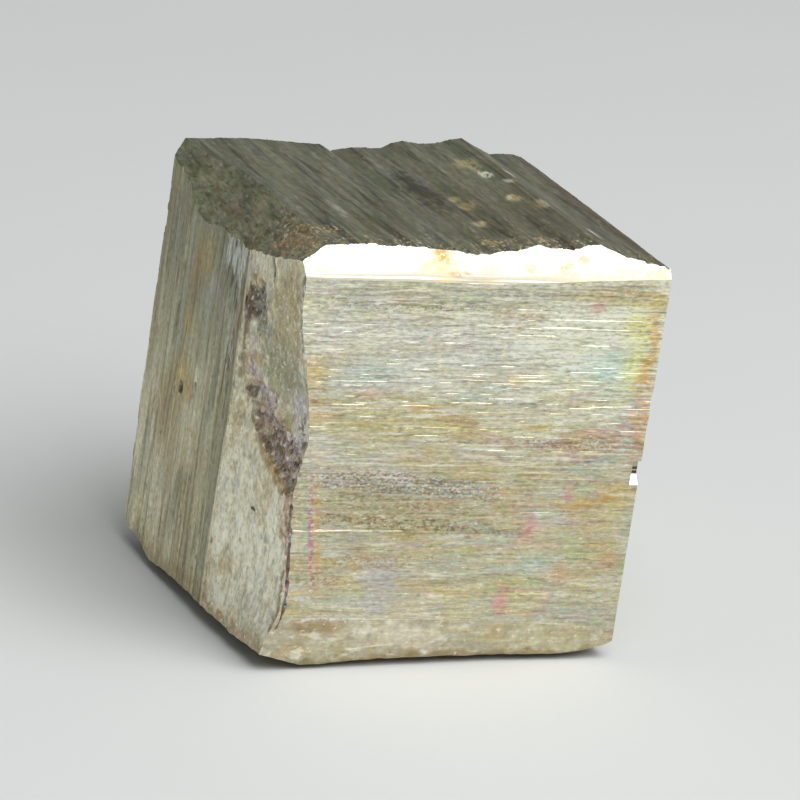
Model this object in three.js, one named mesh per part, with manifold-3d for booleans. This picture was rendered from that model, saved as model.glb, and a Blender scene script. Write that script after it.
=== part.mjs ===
// Pyrite crystal: one rough cube with striated faces, leaning slightly on its broken base.
// Millimetres, +Z up. The crystal is shaped along its own growth axes (x to the right along the
// front face, y to the back, z up) and is then leaned over and set down on its base.
import * as THREE from "three";
import { mergeVertices } from "three/addons/utils/BufferGeometryUtils.js";
import Module from "manifold-3d";

// Size of the cube along its growth axes
const WIDTH = 24;
const DEPTH = 23.9;
const TOP = 25.35;
const BASE = -2;
const FIRST_STEP = -1.65;
const LEAN = Math.atan(0.05);
const MARGIN = 3;

// Top face: height of its ridges along the front edge and along the back edge, as [x, z]
const FRONT_RIDGES = [
  [-0.4, 25.0], [0.9, 25.24], [4.2, 25.43], [8.1, 25.29], [10, 25.17], [10.8, 25.03], [12.1, 25.0],
  [13, 25.22], [14.6, 25.37], [15.4, 25.61], [16.4, 25.46], [18.1, 25.5], [18.7, 25.67],
  [19.5, 25.75], [20.4, 25.45], [21.3, 25.16], [22.4, 24.97], [23.7, 24.81], [24.3, 24.55],
];
const BACK_RIDGES = [
  [-0.4, 25.12], [1, 25.15], [4.3, 25.26], [7.6, 25.13], [9.8, 25.04], [10.6, 24.64], [12, 24.88],
  [14.1, 24.96], [14.7, 25.3], [15.4, 25.46], [16.6, 25.3], [18.1, 25.49], [18.8, 25.7],
  [19.5, 25.8], [20.4, 25.36], [21.7, 24.75], [22.4, 24.83], [23.4, 24.84], [24.3, 24.6],
];

// Broken strip between the top and the left face: its lower edge as [y, z], its upper edge as [y, x]
const BREAK_LOWER_EDGE = [
  [-0.5, 24.9], [1.8, 24.3], [4.4, 23.5], [8.3, 22.5], [9.8, 22.15], [14.6, 22.1], [16.6, 21.65],
  [18.6, 21.6], [19.8, 22.2], [20.5, 23.1], [22, 23.4], [24.4, 24],
];
const BREAK_UPPER_EDGE = [[-0.5, 1.3], [3.2, 1.7], [9, 1.9], [14, 2.1], [17.2, 2.1], [18.8, 1], [24.4, 0.7]];
const BREAK_ROUGHNESS = 0.07;

// Bright bevel along the top of the front face: where it starts, as [x, z], and how far it leans back
const BEVEL_START = [[-0.5, 23.56], [12.5, 23.45], [17, 23.68], [20.5, 23.88], [24.5, 24.05]];
const BEVEL_LEAN = THREE.MathUtils.degToRad(38);

// Pale bevel along the bottom of the front face: its top, its lean and how it fades along the face
const FOOT_BEVEL_TOP = 1.9;
const FOOT_BEVEL_LEAN = THREE.MathUtils.degToRad(13);
const CLEAR_SLOPE = 0.05;
const FOOT_BEVEL_FADE = [[-0.5, 1], [16, 1], [20, 0.55], [23.5, 0.02], [24.5, 0.02]];

// Strip that cuts the edge between the left and the front face: how far it eats into the front
// face, as [z, x], and where it starts on the left face
const STRIP_INTO_FRONT = [
  [-6, 0.4], [-1, 0.6], [1, 0.95], [2.2, 1.25], [4, 1.28], [6, 1.3], [9.5, 1.05], [11.2, 1.2], [13, 1.5],
  [14.8, 1.4], [16.6, 1.05], [18.3, 0.6], [20, 0.15], [22, 0.02], [30, 0.02],
];
const STRIP_START = 9;

// Hollows of the strip, where oxide sits: middle [y, z], half sizes [y, z], depth and turn in degrees
const HOLLOWS = [
  { at: [7, 19.6], half: [1, 1.5], depth: 0.3, turn: 0 },
  { at: [5.6, 13.4], half: [2.4, 1.15], depth: 0.4, turn: 45 },
  { at: [2.6, 11.8], half: [2.9, 1.3], depth: 0.45, turn: 28 },
  { at: [1, 10.8], half: [0.9, 1.5], depth: 0.4, turn: 25 },
  { at: [17.4, 10.75], half: [0.35, 0.4], depth: 0.2, turn: 0 },
  { at: [15.2, 11.8], half: [0.3, 0.5], depth: 0.18, turn: 10 },
];
const HOLLOW_ROUGHNESS = 0.16;

// Crack that runs down the edge between the strip and the front face
const CRACK = { foot: { x: 1.55, z: 1.6 }, tip: { x: 1.05, z: 9.3 }, half: 0.18, depth: 0.4, sway: 0.06 };

// Notch in the right edge of the front face, with a ledge parallel to the bright bevel
const NOTCH = { from: 23.38, top: 12.3, ledge: 11.3, depth: 0.45 };

// Underside: how high its rim is chipped above the surface, along the front as [x, gap] and along the
// left as [y, gap], how far in the chips reach, and how steeply they come down
const FRONT_CHIPS = [
  [-1, 1.25], [0.4, 1.15], [1.3, 0.85], [2.3, 0.37], [3, 0.35], [4.4, 0.35], [6.4, 0.5], [9, 0.57],
  [12, 0.57], [15, 0.5], [16.5, 0.47], [18, 0.47], [20, 0.42], [21, 0.53], [22.4, 0.68], [23.4, 0.9],
  [24, 1.2], [25, 1.3],
];
const LEFT_CHIPS = [
  [-1, 1.3], [1.2, 1.33], [4, 1.09], [9, 1.11], [13, 1.05], [16.5, 0.85], [18.6, 0.65], [19.6, 0.7],
  [20.3, 1.2], [22.6, 1.3], [23.6, 1.65], [25, 1.95],
];
const RIGHT_CHIPS = [
  [-1, 0.95], [3, 0.65], [7, 0.35], [9, 0.45], [14, 0.85], [19, 0.7], [22, 0.4], [25, 0.75],
];
const BACK_CHIPS = [
  [-1, 1.85], [2, 1.15], [5, 0.65], [9, 0.35], [13, 0.7], [17, 0.95], [21, 0.45], [25, 0.85],
];
const CHIP_REACH = 4.2;
const CHIP_CURVE = 0.9;

// Growth steps of each face: mean distance apart, greatest depth, and width of a riser
const STEPS = {
  top: { pitch: 0.95, depth: 0.09, riser: 0.1, seed: 11 },
  front: { pitch: 0.78, depth: 0.085, riser: 0.09, seed: 23 },
  left: { pitch: 0.8, depth: 0.13, riser: 0.1, seed: 37 },
  right: { pitch: 1.05, depth: 0.15, riser: 0.12, seed: 41 },
  back: { pitch: 1.05, depth: 0.14, riser: 0.12, seed: 59 },
};

// Least distance between two grid lines of a relief, and between two corners of the finished solid
const LINE_GAP = 0.03;
const SMALLEST_DETAIL = 0.002;

// How the grown crystal leans over and is set down
const STAND = new THREE.Matrix4()
  .makeRotationY(LEAN)
  .premultiply(new THREE.Matrix4().makeTranslation(0, 0, -BASE * Math.cos(LEAN)));

// How a relief's grid and height lie in the crystal, for each side that it can face
const FACING = {
  up: (u, v, height) => [u, v, height],
  front: (u, v, height) => [u, -height, v],
  left: (u, v, height) => [-height, v, u],
  right: (u, v, height) => [height, u, v],
  back: (u, v, height) => [v, height, u],
};

const wasm = await Module();
wasm.setup();

// A row of random numbers from 0 to 1 that is the same every time
function randomRow(seed) {
  let state = seed;
  return () => {
    state = (state * 1664525 + 1013904223) % 4294967296;
    return state / 4294967296;
  };
}

// Straight-line reading of an outline of [place, value] points
function along(outline, place) {
  if (place <= outline[0][0]) return outline[0][1];
  for (let i = 1; i < outline.length; i += 1) {
    const [from, low] = outline[i - 1];
    const [to, high] = outline[i];
    if (place <= to) return low + ((high - low) * (place - from)) / (to - from);
  }
  return outline[outline.length - 1][1];
}

// Uneven relief of a broken surface, from -1 to 1
function rough(a, b) {
  const broad = Math.sin(2.3 * a + 1.7 * b);
  const middling = Math.sin(4.1 * b - 3.2 * a + 1);
  const fine = Math.sin(6.7 * a + 5.9 * b);
  return 0.5 * broad + 0.3 * middling + 0.2 * fine;
}

// A face's growth steps: risers at uneven places, each tread at its own level
function growthSteps(length, { pitch, depth, riser, seed }) {
  const random = randomRow(seed);
  const treads = [];
  let place = FIRST_STEP;
  while (place < length + 1) {
    treads.push({ place, level: depth * random(), phase: 6.3 * random(), wave: 0.1 + 0.25 * random() });
    place += pitch * (0.4 + 1.2 * random());
  }
  const lines = treads.flatMap((tread) => [tread.place - riser / 2, tread.place + riser / 2]);
  const inset = (across, lengthwise) => {
    let tread = treads[0];
    for (const next of treads) {
      if (next.place <= across) tread = next;
    }
    return tread.level * (0.6 + 0.4 * Math.sin(tread.wave * lengthwise + tread.phase));
  };
  return { lines, inset };
}

// The places of an outline's points
function placesOf(outline) {
  return outline.map(([place]) => place);
}

// Grid lines in order, reaching past both ends of an edge, with none closer together than the gap
function pastEnds(length, lines) {
  const inside = lines.filter((line) => Math.abs(line - length / 2) < length / 2 + MARGIN);
  const inOrder = [-2 * MARGIN, ...inside.sort((a, b) => a - b), length + 2 * MARGIN];
  return inOrder.filter((line, i) => i === 0 || line - inOrder[i - 1] > LINE_GAP);
}

// Evenly spaced grid lines that reach past both ends of an edge
function evenLines(length, count) {
  const lines = Array.from({ length: count + 1 }, (_, i) => (length * i) / count);
  return pastEnds(length, lines);
}

// A closed geometry as a solid
function solidOf(geometry) {
  const bare = geometry.clone();
  bare.deleteAttribute("normal");
  bare.deleteAttribute("uv");
  const merged = mergeVertices(bare, 1e-5);
  const triVerts = new Uint32Array(merged.index.array);
  const vertProperties = new Float32Array(merged.attributes.position.array);
  return new wasm.Manifold(new wasm.Mesh({ numProp: 3, vertProperties, triVerts }));
}

// A block whose outer side follows a relief over the grid lines u and v. The relief gives the height
// of the outer side, the block reaches in to the given depth, and place sets a point in space.
function reliefGeometry(uLines, vLines, relief, inner, place) {
  const geometry = new THREE.BoxGeometry(1, 1, 1, uLines.length - 1, vLines.length - 1, 1);
  const position = geometry.attributes.position;
  for (let i = 0; i < position.count; i += 1) {
    const u = uLines[Math.round((position.getX(i) + 0.5) * (uLines.length - 1))];
    const v = vLines[Math.round((position.getY(i) + 0.5) * (vLines.length - 1))];
    const height = position.getZ(i) > 0 ? relief(u, v) : inner;
    position.setXYZ(i, ...place(u, v, height));
  }
  return geometry;
}

// A solid made along the growth axes, leaned over and set down with the crystal
function grown(geometry) {
  return solidOf(geometry.applyMatrix4(STAND));
}

// A relief block made along the growth axes
function reliefBlock(uLines, vLines, relief, inner, place) {
  return grown(reliefGeometry(uLines, vLines, relief, inner, place));
}

// Height of the top face between its front and its back edge
function topRelief(steps) {
  return (x, y) => {
    const back = y / DEPTH;
    return along(FRONT_RIDGES, x) * (1 - back) + along(BACK_RIDGES, x) * back - steps.inset(x, y);
  };
}

// Height of the broken strip along the left edge of the top face
function breakRelief(x, y) {
  const lowerEdge = along(BREAK_LOWER_EDGE, y);
  const rise = (TOP - lowerEdge) / along(BREAK_UPPER_EDGE, y);
  return lowerEdge + rise * x + BREAK_ROUGHNESS * rough(3 * x, y);
}

// Plane of the bright bevel, counted towards -y
function topBevelRelief(x, z) {
  return (along(BEVEL_START, x) - z) * Math.tan(BEVEL_LEAN);
}

// Bevel at the foot of the front face, which flattens out towards the right. Above it the relief
// stands clear of the face.
function footBevelRelief(x, z) {
  const lean = Math.tan(FOOT_BEVEL_LEAN) * along(FOOT_BEVEL_FADE, x);
  const slope = z < FOOT_BEVEL_TOP ? lean : CLEAR_SLOPE;
  return (z - FOOT_BEVEL_TOP) * slope;
}

// How far the strip cuts into the left side of the crystal
function stripInset(y, z) {
  return (1 - y / STRIP_START) * along(STRIP_INTO_FRONT, z);
}

// Height of the underside, which is flat in the middle and chipped along its rim
function baseRelief(y, x) {
  const chip = (gap, inward) => gap * Math.max(0, 1 - Math.max(0, inward) / CHIP_REACH) ** CHIP_CURVE;
  const chips = [
    chip(along(FRONT_CHIPS, x), y),
    chip(along(LEFT_CHIPS, y), x),
    chip(along(RIGHT_CHIPS, y), WIDTH - x),
    chip(along(BACK_CHIPS, x), DEPTH - y),
  ];
  return -Math.max(...chips);
}

// A rough bowl that is taken out of the left side
function hollow({ at: [y, z], half, depth, turn }) {
  const geometry = new THREE.IcosahedronGeometry(1, 3);
  const position = geometry.attributes.position;
  const point = new THREE.Vector3();
  for (let i = 0; i < position.count; i += 1) {
    point.fromBufferAttribute(position, i);
    const swell = 1 + HOLLOW_ROUGHNESS * rough(3 * point.y + y, 3 * point.z + point.x);
    point.multiplyScalar(swell);
    position.setXYZ(i, point.x, point.y, point.z);
  }
  geometry.scale(depth, half[0], half[1]);
  geometry.rotateX(THREE.MathUtils.degToRad(turn));
  geometry.translate(Math.max(0, stripInset(y, z)), y, z);
  return grown(geometry);
}

// A prism with its outline in the y-z plane, from one x to another
function prismAlongX(outline, from, to) {
  const shape = new THREE.Shape(outline.map(([y, z]) => new THREE.Vector2(y, z)));
  const geometry = new THREE.ExtrudeGeometry(shape, { depth: to - from, bevelEnabled: false });
  const axes = new THREE.Matrix4().set(0, 0, 1, from, 1, 0, 0, 0, 0, 1, 0, 0, 0, 0, 0, 1);
  geometry.applyMatrix4(axes);
  return grown(geometry);
}

// The notch in the right edge of the front face
function notch() {
  const ledgeDrop = NOTCH.depth / Math.tan(BEVEL_LEAN);
  const outline = [
    [-1, NOTCH.top],
    [-1, NOTCH.ledge - ledgeDrop * (1 + 1 / NOTCH.depth)],
    [NOTCH.depth, NOTCH.ledge],
    [NOTCH.depth, NOTCH.top],
  ];
  return prismAlongX(outline, NOTCH.from, WIDTH + 1);
}

// The crack between the strip and the front face, a thin wedge cut in from the front edge
function crack() {
  const { foot, tip, half, depth, sway } = CRACK;
  const slant = (tip.x - foot.x) / (tip.z - foot.z);
  const geometry = new THREE.CylinderGeometry(half, half, tip.z - foot.z, 4, 6);
  const position = geometry.attributes.position;
  for (let i = 0; i < position.count; i += 1) {
    const height = position.getY(i);
    position.setX(i, position.getX(i) + slant * height + sway * Math.sin(1.9 * height));
    position.setZ(i, (position.getZ(i) * depth) / half);
  }
  geometry.rotateX(Math.PI / 2);
  geometry.translate((foot.x + tip.x) / 2, 0, (foot.z + tip.z) / 2);
  return grown(geometry);
}

// The top face, with ridges from front to back
function topFace() {
  const steps = growthSteps(WIDTH, STEPS.top);
  const lines = pastEnds(WIDTH, [...placesOf(FRONT_RIDGES), ...placesOf(BACK_RIDGES), ...steps.lines]);
  return reliefBlock(lines, evenLines(DEPTH, 4), topRelief(steps), BASE - MARGIN, FACING.up);
}

// The front face, with level steps
function frontFace() {
  const steps = growthSteps(TOP, STEPS.front);
  const relief = (x, z) => -steps.inset(z, x);
  return reliefBlock(evenLines(WIDTH, 8), pastEnds(TOP, steps.lines), relief, -DEPTH - MARGIN, FACING.front);
}

// The left face, with upright steps
function leftFace() {
  const steps = growthSteps(DEPTH, STEPS.left);
  const relief = (z, y) => -steps.inset(y, z);
  return reliefBlock(evenLines(TOP, 6), pastEnds(DEPTH, steps.lines), relief, -WIDTH - MARGIN, FACING.left);
}

// The right face, with upright steps
function rightFace() {
  const steps = growthSteps(DEPTH, STEPS.right);
  const relief = (y, z) => WIDTH - steps.inset(y, z);
  return reliefBlock(pastEnds(DEPTH, steps.lines), evenLines(TOP, 6), relief, -MARGIN, FACING.right);
}

// The back face, with level steps
function backFace() {
  const steps = growthSteps(TOP, STEPS.back);
  const relief = (z, x) => DEPTH - steps.inset(z, x);
  return reliefBlock(pastEnds(TOP, steps.lines), evenLines(WIDTH, 6), relief, -MARGIN, FACING.back);
}

// The broken strip between the top and the left face
function brokenStrip() {
  const acrossStrip = [-MARGIN, 0, 0.5, 1, 1.5, 2, 2.6, WIDTH + MARGIN];
  const alongStrip = pastEnds(DEPTH, placesOf(BREAK_LOWER_EDGE));
  return reliefBlock(acrossStrip, alongStrip, breakRelief, BASE - MARGIN, FACING.up);
}

// A bevel of the front face, over the places of its outline and the heights where it turns
function bevel(outline, turns, relief) {
  const upright = [BASE - MARGIN, ...turns, TOP + MARGIN];
  return reliefBlock(pastEnds(WIDTH, placesOf(outline)), upright, relief, -DEPTH - MARGIN, FACING.front);
}

// The strip between the left and the front face
function edgeStrip() {
  const acrossStrip = [-MARGIN, 0, STRIP_START / 3, (STRIP_START * 2) / 3, STRIP_START, DEPTH + MARGIN];
  const relief = (z, y) => -stripInset(y, z);
  return reliefBlock(placesOf(STRIP_INTO_FRONT), acrossStrip, relief, -WIDTH - MARGIN, FACING.left);
}

// The base, flat on the ground with a chipped rim. It stays level while the rest leans.
function chippedBase() {
  const rim = [0, 0.8, 2, CHIP_REACH];
  const nearRim = (length) => [...rim, ...rim.map((inward) => length - inward)];
  const baseY = pastEnds(DEPTH, [...nearRim(DEPTH), ...placesOf(LEFT_CHIPS)]);
  const baseX = pastEnds(WIDTH, [...nearRim(WIDTH), ...placesOf(FRONT_CHIPS)]);
  const upsideDown = (u, v, height) => [v, u, -height];
  return solidOf(reliefGeometry(baseY, baseX, baseRelief, -TOP - 2 * MARGIN, upsideDown));
}

// The whole crystal, standing on its base
function standingCrystal() {
  const cubeFaces = [topFace(), frontFace(), leftFace(), rightFace(), backFace()];
  const topBevel = bevel(BEVEL_START, [], topBevelRelief);
  const footBevel = bevel(FOOT_BEVEL_FADE, [FOOT_BEVEL_TOP], footBevelRelief);
  const faces = [...cubeFaces, topBevel, footBevel, brokenStrip(), edgeStrip(), chippedBase()];
  const cuts = [...HOLLOWS.map(hollow), notch(), crack()];
  const whole = faces.reduce((body, face) => body.intersect(face));
  return cuts.reduce((body, cut) => body.subtract(cut), whole);
}

// A solid's triangles as a geometry centred over the middle of its base. Corners that are closer
// together than the smallest detail become one, and the triangles that vanish with them are left out.
function geometryOf(solid) {
  const mesh = solid.getMesh();
  const snapped = mesh.vertProperties.map((value) => Math.round(value / SMALLEST_DETAIL) * SMALLEST_DETAIL);
  const loose = new THREE.BufferGeometry();
  loose.setAttribute("position", new THREE.BufferAttribute(snapped, 3));
  loose.setIndex(new THREE.BufferAttribute(mesh.triVerts, 1));
  const geometry = mergeVertices(loose, SMALLEST_DETAIL / 2);
  const corners = geometry.index.array;
  const kept = [];
  for (let i = 0; i < corners.length; i += 3) {
    const [a, b, c] = corners.slice(i, i + 3);
    if (a !== b && b !== c && c !== a) kept.push(a, b, c);
  }
  geometry.setIndex(kept);
  geometry.computeBoundingBox();
  const middle = geometry.boundingBox.getCenter(new THREE.Vector3());
  geometry.translate(-middle.x, -middle.y, -geometry.boundingBox.min.z);
  geometry.computeVertexNormals();
  return geometry;
}

const pyrite = new THREE.MeshStandardMaterial({
  color: 0xa9a183,
  roughness: 0.42,
  metalness: 0.9,
  flatShading: true,
});

const crystal = new THREE.Mesh(geometryOf(standingCrystal()), pyrite);
crystal.name = "pyrite_crystal";

const specimen = new THREE.Group();
specimen.add(crystal);

export default specimen;
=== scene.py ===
"""Looks of the pyrite crystal, and the studio that it stands in.

The crystal is built again with much finer relief than the solid that it replaces, out of the same
faces, edges and hollows. Its lengths are millimetres along its own growth axes (x to the right
along the front face, y to the back, z up) until it is leaned over and set down.
"""
import logging
import math
from dataclasses import dataclass, field
from enum import Enum
from typing import Any, Callable

import bmesh
import bpy
import numpy as np
from mathutils import Matrix, Vector


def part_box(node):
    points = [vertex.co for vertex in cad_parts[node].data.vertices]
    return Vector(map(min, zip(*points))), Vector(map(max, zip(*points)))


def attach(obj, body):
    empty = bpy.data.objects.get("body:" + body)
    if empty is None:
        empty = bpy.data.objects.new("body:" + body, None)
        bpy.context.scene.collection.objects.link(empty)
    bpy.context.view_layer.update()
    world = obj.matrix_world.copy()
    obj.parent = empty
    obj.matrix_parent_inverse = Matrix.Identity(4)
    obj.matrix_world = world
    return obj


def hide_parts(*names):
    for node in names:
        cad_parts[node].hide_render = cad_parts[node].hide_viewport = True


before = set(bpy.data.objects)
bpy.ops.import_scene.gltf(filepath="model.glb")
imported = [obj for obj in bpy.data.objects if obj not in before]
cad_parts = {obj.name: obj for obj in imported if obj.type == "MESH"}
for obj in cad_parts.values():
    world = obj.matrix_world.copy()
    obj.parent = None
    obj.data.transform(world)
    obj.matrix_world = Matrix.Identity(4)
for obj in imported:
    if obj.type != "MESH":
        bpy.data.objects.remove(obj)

LOG = logging.getLogger("pyrite")
MM = 0.001
Outline = tuple[tuple[float, float], ...]
Field = Callable[[np.ndarray, np.ndarray], np.ndarray]
Pair = tuple[float, float]
Triple = tuple[float, float, float]
Paint = tuple[float, float, float, float]


class Surface(Enum):
    """Kinds of surface on the crystal. Each has a finish of its own."""

    FRONT = "front_striated"
    BEVEL = "top_bevel"
    FOOT = "foot_bevel"
    LEFT = "left_striated"
    STRIP = "edge_strip"
    TOP = "top_ridged"
    BREAK = "broken_strip"
    RIGHT = "right_striated"
    BACK = "back_striated"
    BASE = "base"
    NOTCH = "edge_notch"
    CRACK = "filled_crack"

    @property
    def slot(self) -> int:
        """Place of this surface's material on the crystal."""
        return list(Surface).index(self)


class Side(Enum):
    """Side that a relief faces, which says how its grid and its height lie in the crystal."""

    UP = "up"
    DOWN = "down"
    FRONT = "front"
    LEFT = "left"
    RIGHT = "right"
    BACK = "back"

    def place(self, u: np.ndarray, v: np.ndarray, height: np.ndarray) -> np.ndarray:
        """Set points of a relief in space.

        Args:
            u: First grid coordinate of each point.
            v: Second grid coordinate of each point.
            height: Height of each point, counted outward.

        Returns:
            One row of x, y, z for each point.
        """
        axes = {
            Side.UP: (u, v, height),
            Side.DOWN: (v, u, -height),
            Side.FRONT: (u, -height, v),
            Side.LEFT: (-height, v, u),
            Side.RIGHT: (height, u, v),
            Side.BACK: (v, height, u),
        }
        return np.stack(axes[self], axis=-1).reshape(-1, 3)


def along(outline: Outline, place: np.ndarray) -> np.ndarray:
    """Straight-line reading of an outline of (place, value) points."""
    places, values = zip(*outline)
    return np.interp(place, places, values)


def places_of(outline: Outline) -> np.ndarray:
    """The places of an outline's points."""
    return np.array([place for place, _ in outline])


def smooth(low: float, high: float, value: np.ndarray) -> np.ndarray:
    """Soft step from 0 at low to 1 at high, or down where low is the larger."""
    share = np.clip((value - low) / (high - low), 0, 1)
    return share * share * (3 - 2 * share)


def read(items: Any, name: str, width: int = 1, kind: type = float) -> np.ndarray:
    """One property of all items of a mesh, in rows of the given width.

    Args:
        items: The mesh's vertices, corners or faces.
        name: Name of the property.
        width: How many numbers an item has.
        kind: Type of the numbers.

    Returns:
        A row of numbers for each item, or one number for each where the width is 1.
    """
    values = np.empty(len(items) * width, dtype=kind)
    items.foreach_get(name, values)
    return values.reshape(-1, width) if width > 1 else values


def rough(a: np.ndarray, b: np.ndarray) -> np.ndarray:
    """Broad uneven relief of a broken surface, from -1 to 1.

    Args:
        a: First coordinate of each point.
        b: Second coordinate of each point.

    Returns:
        The relief at each point.
    """
    broad = np.sin(2.3 * a + 1.7 * b)
    middling = np.sin(4.1 * b - 3.2 * a + 1)
    fine = np.sin(6.7 * a + 5.9 * b)
    return 0.5 * broad + 0.3 * middling + 0.2 * fine


@dataclass(frozen=True)
class Grain:
    """Random relief, in layers of bumps that are each half the size of the one before.

    Attributes:
        cell: Size of the broadest bumps along the two directions.
        seed: Seed of the random draw.
        height: Height of the relief.
        octaves: How many layers there are.
        period: After how many bumps a layer begins again.
    """

    cell: Pair
    seed: int
    height: float = 1.0
    octaves: int = 3
    period: int = 61

    def at(self, u: np.ndarray, v: np.ndarray) -> np.ndarray:
        """The relief at each point, from about minus its height to its height.

        Args:
            u: First coordinate of each point.
            v: Second coordinate of each point.

        Returns:
            The relief at each point.
        """
        rng = np.random.default_rng(self.seed)
        total = np.zeros(np.broadcast(u, v).shape)
        for octave in range(self.octaves):
            knots = rng.uniform(-1, 1, (self.period, self.period))
            a = u / self.cell[0] * 2**octave + 7.3 * octave
            b = v / self.cell[1] * 2**octave + 3.1 * octave
            low_a, low_b = np.floor(a).astype(int), np.floor(b).astype(int)
            share_a, share_b = smooth(0, 1, a - low_a), smooth(0, 1, b - low_b)
            rows = []
            for step in (0, 1):
                column = (low_b + step) % self.period
                left = knots[low_a % self.period, column]
                right = knots[(low_a + 1) % self.period, column]
                rows.append(left * (1 - share_a) + right * share_a)
            total += (rows[0] * (1 - share_b) + rows[1] * share_b) / 2**octave
        return self.height * total


@dataclass
class GrowthSteps:
    """Broad steps of a face: uneven risers, with each tread at a level of its own.

    Attributes:
        length: Length of the edge that the steps lie across.
        pitch: Mean distance between risers.
        depth: Greatest depth of a tread.
        riser: Width of a riser.
        seed: Seed of the random row, the same as in the solid.
        start: Place of the first riser.
        treads: Place, level, phase and wave of each tread.
    """

    length: float
    pitch: float
    depth: float
    riser: float
    seed: int
    start: float = -1.65
    treads: np.ndarray = field(init=False)

    def __post_init__(self) -> None:
        """Draw the treads: place, level, phase and wave of each."""
        rows = []
        place = self.start
        while place < self.length + 1:
            rows.append((place, self.depth * self._draw(), 6.3 * self._draw(), 0.1 + 0.25 * self._draw()))
            place += self.pitch * (0.4 + 1.2 * self._draw())
        self.treads = np.array(rows)

    def _draw(self) -> float:
        """Next number from 0 to 1 of the random row.

        Returns:
            The number.
        """
        factor, shift, span = 1664525, 1013904223, 2**32
        self.seed = (self.seed * factor + shift) % span
        return self.seed / span

    def lines(self) -> np.ndarray:
        """Grid lines at both edges of each riser."""
        return np.concatenate([self.treads[:, 0] - self.riser / 2, self.treads[:, 0] + self.riser / 2])

    def inset(self, across: np.ndarray, lengthwise: np.ndarray) -> np.ndarray:
        """Depth of the steps below the face.

        Args:
            across: Place across the steps.
            lengthwise: Place along the steps.

        Returns:
            The depth at each point.
        """
        starts = self.treads[:, 0] - self.riser / 2
        row = np.clip(np.searchsorted(starts, across, side="right") - 1, 0, None)
        share = smooth(0, self.riser, across - starts[row])
        below, here = (self._level(tread, lengthwise) for tread in (np.clip(row - 1, 0, None), row))
        return below * (1 - share) + here * share

    def _level(self, row: np.ndarray, lengthwise: np.ndarray) -> np.ndarray:
        """Depth of the tread with the given number, which waves along the face."""
        _, level, phase, wave = self.treads[row].transpose(2, 0, 1)
        return level * (0.6 + 0.4 * np.sin(wave * lengthwise + phase))


@dataclass
class FineLedges:
    """Narrow ledges across a face that fade in and out along it.

    Going up across the face, the surface leans back over a riser and then comes out again gently.

    Attributes:
        length: Length of the edge that the ledges lie across.
        gap: Mean distance between ledges.
        rise: Least and greatest width of a riser.
        lean: Least and greatest lean of a riser, in degrees.
        run: Mean length over which a ledge fades in or out.
        seed: Seed of the random draws.
        cover: Share of its length that a ledge shows on, as (place across, share).
        start: Place of the first ledge.
        knots: How many random values along a ledge decide where it shows.
        rows: Place, riser width, slope and run of each ledge.
        gates: The random values of each ledge.
    """

    length: float
    gap: float
    rise: Pair
    lean: Pair
    run: float
    seed: int
    cover: Outline = ((0, 0.6),)
    start: float = -1.65
    knots: int = 97
    rows: np.ndarray = field(init=False)
    gates: np.ndarray = field(init=False)

    def __post_init__(self) -> None:
        """Draw the place, riser, slope and run of each ledge, and where along the face it shows."""
        rng = np.random.default_rng(self.seed)
        rows = []
        place = self.start
        while place < self.length + 1:
            rise = rng.uniform(*self.rise)
            slope = math.tan(math.radians(rng.uniform(*self.lean)))
            rows.append((place, rise, slope, self.run * rng.uniform(0.5, 1.8)))
            place += rise + self.gap * rng.uniform(0.3, 1.7)
        self.rows = np.array(rows)
        self.gates = rng.uniform(0, 1, (len(rows), self.knots))

    def lines(self) -> np.ndarray:
        """Grid lines at both edges of each riser."""
        return np.concatenate([self.rows[:, 0], self.rows[:, 0] + self.rows[:, 1]])

    def inset(self, across: np.ndarray, lengthwise: np.ndarray) -> np.ndarray:
        """Depth of the ledges below the face.

        Args:
            across: Place across the ledges.
            lengthwise: Place along the ledges.

        Returns:
            The depth at each point.
        """
        row = np.clip(np.searchsorted(self.rows[:, 0], across + 1e-9, side="right") - 1, 0, None)
        start, rise, slope, run = self.rows[row].transpose(2, 0, 1)
        after = self.rows[np.clip(row + 1, None, len(self.rows) - 1), 0]
        up = np.clip((across - start) / rise, 0, 1)
        down = np.clip((across - start - rise) / np.maximum(after - start - rise, 0.01), 0, 1)
        knot = (lengthwise + 9) / run
        low = np.floor(knot).astype(int)
        share = smooth(0, 1, knot - low)
        here, following = self.gates[row, low % self.knots], self.gates[row, (low + 1) % self.knots]
        gate = here * (1 - share) + following * share
        threshold = 1 - along(self.cover, start)
        shown = smooth(-0.12, 0.12, gate - threshold)
        return (up - down) * shown * rise * slope


@dataclass
class Shape:
    """A closed shape that is joined into the crystal or cut from it.

    Attributes:
        points: One row of x, y, z for each corner, in millimetres.
        faces: Corners of each face.
        surface: Kind of surface on all of it.
    """

    points: np.ndarray
    faces: list[tuple[int, ...]]
    surface: Surface

    def placed(self, matrix: Matrix) -> "Shape":
        """The shape after a change of place."""
        turned = self.points @ np.array(matrix.to_3x3()).T + np.array(matrix.translation)
        return Shape(turned, self.faces, self.surface)

    def thing(self, name: str, materials: list[bpy.types.Material]) -> bpy.types.Object:
        """Make the Blender object.

        Args:
            name: Name of the object.
            materials: The crystal's materials, in the order of the surfaces.

        Returns:
            The object, linked to the scene.
        """
        mesh = bpy.data.meshes.new(name)
        mesh.from_pydata(self.points.tolist(), [], self.faces)
        for material in materials:
            mesh.materials.append(material)
        mesh.polygons.foreach_set("material_index", [self.surface.slot] * len(mesh.polygons))
        shell = bmesh.new()
        shell.from_mesh(mesh)
        bmesh.ops.recalc_face_normals(shell, faces=shell.faces)
        shell.to_mesh(mesh)
        shell.free()
        made = bpy.data.objects.new(name, mesh)
        bpy.context.scene.collection.objects.link(made)
        return made


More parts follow.
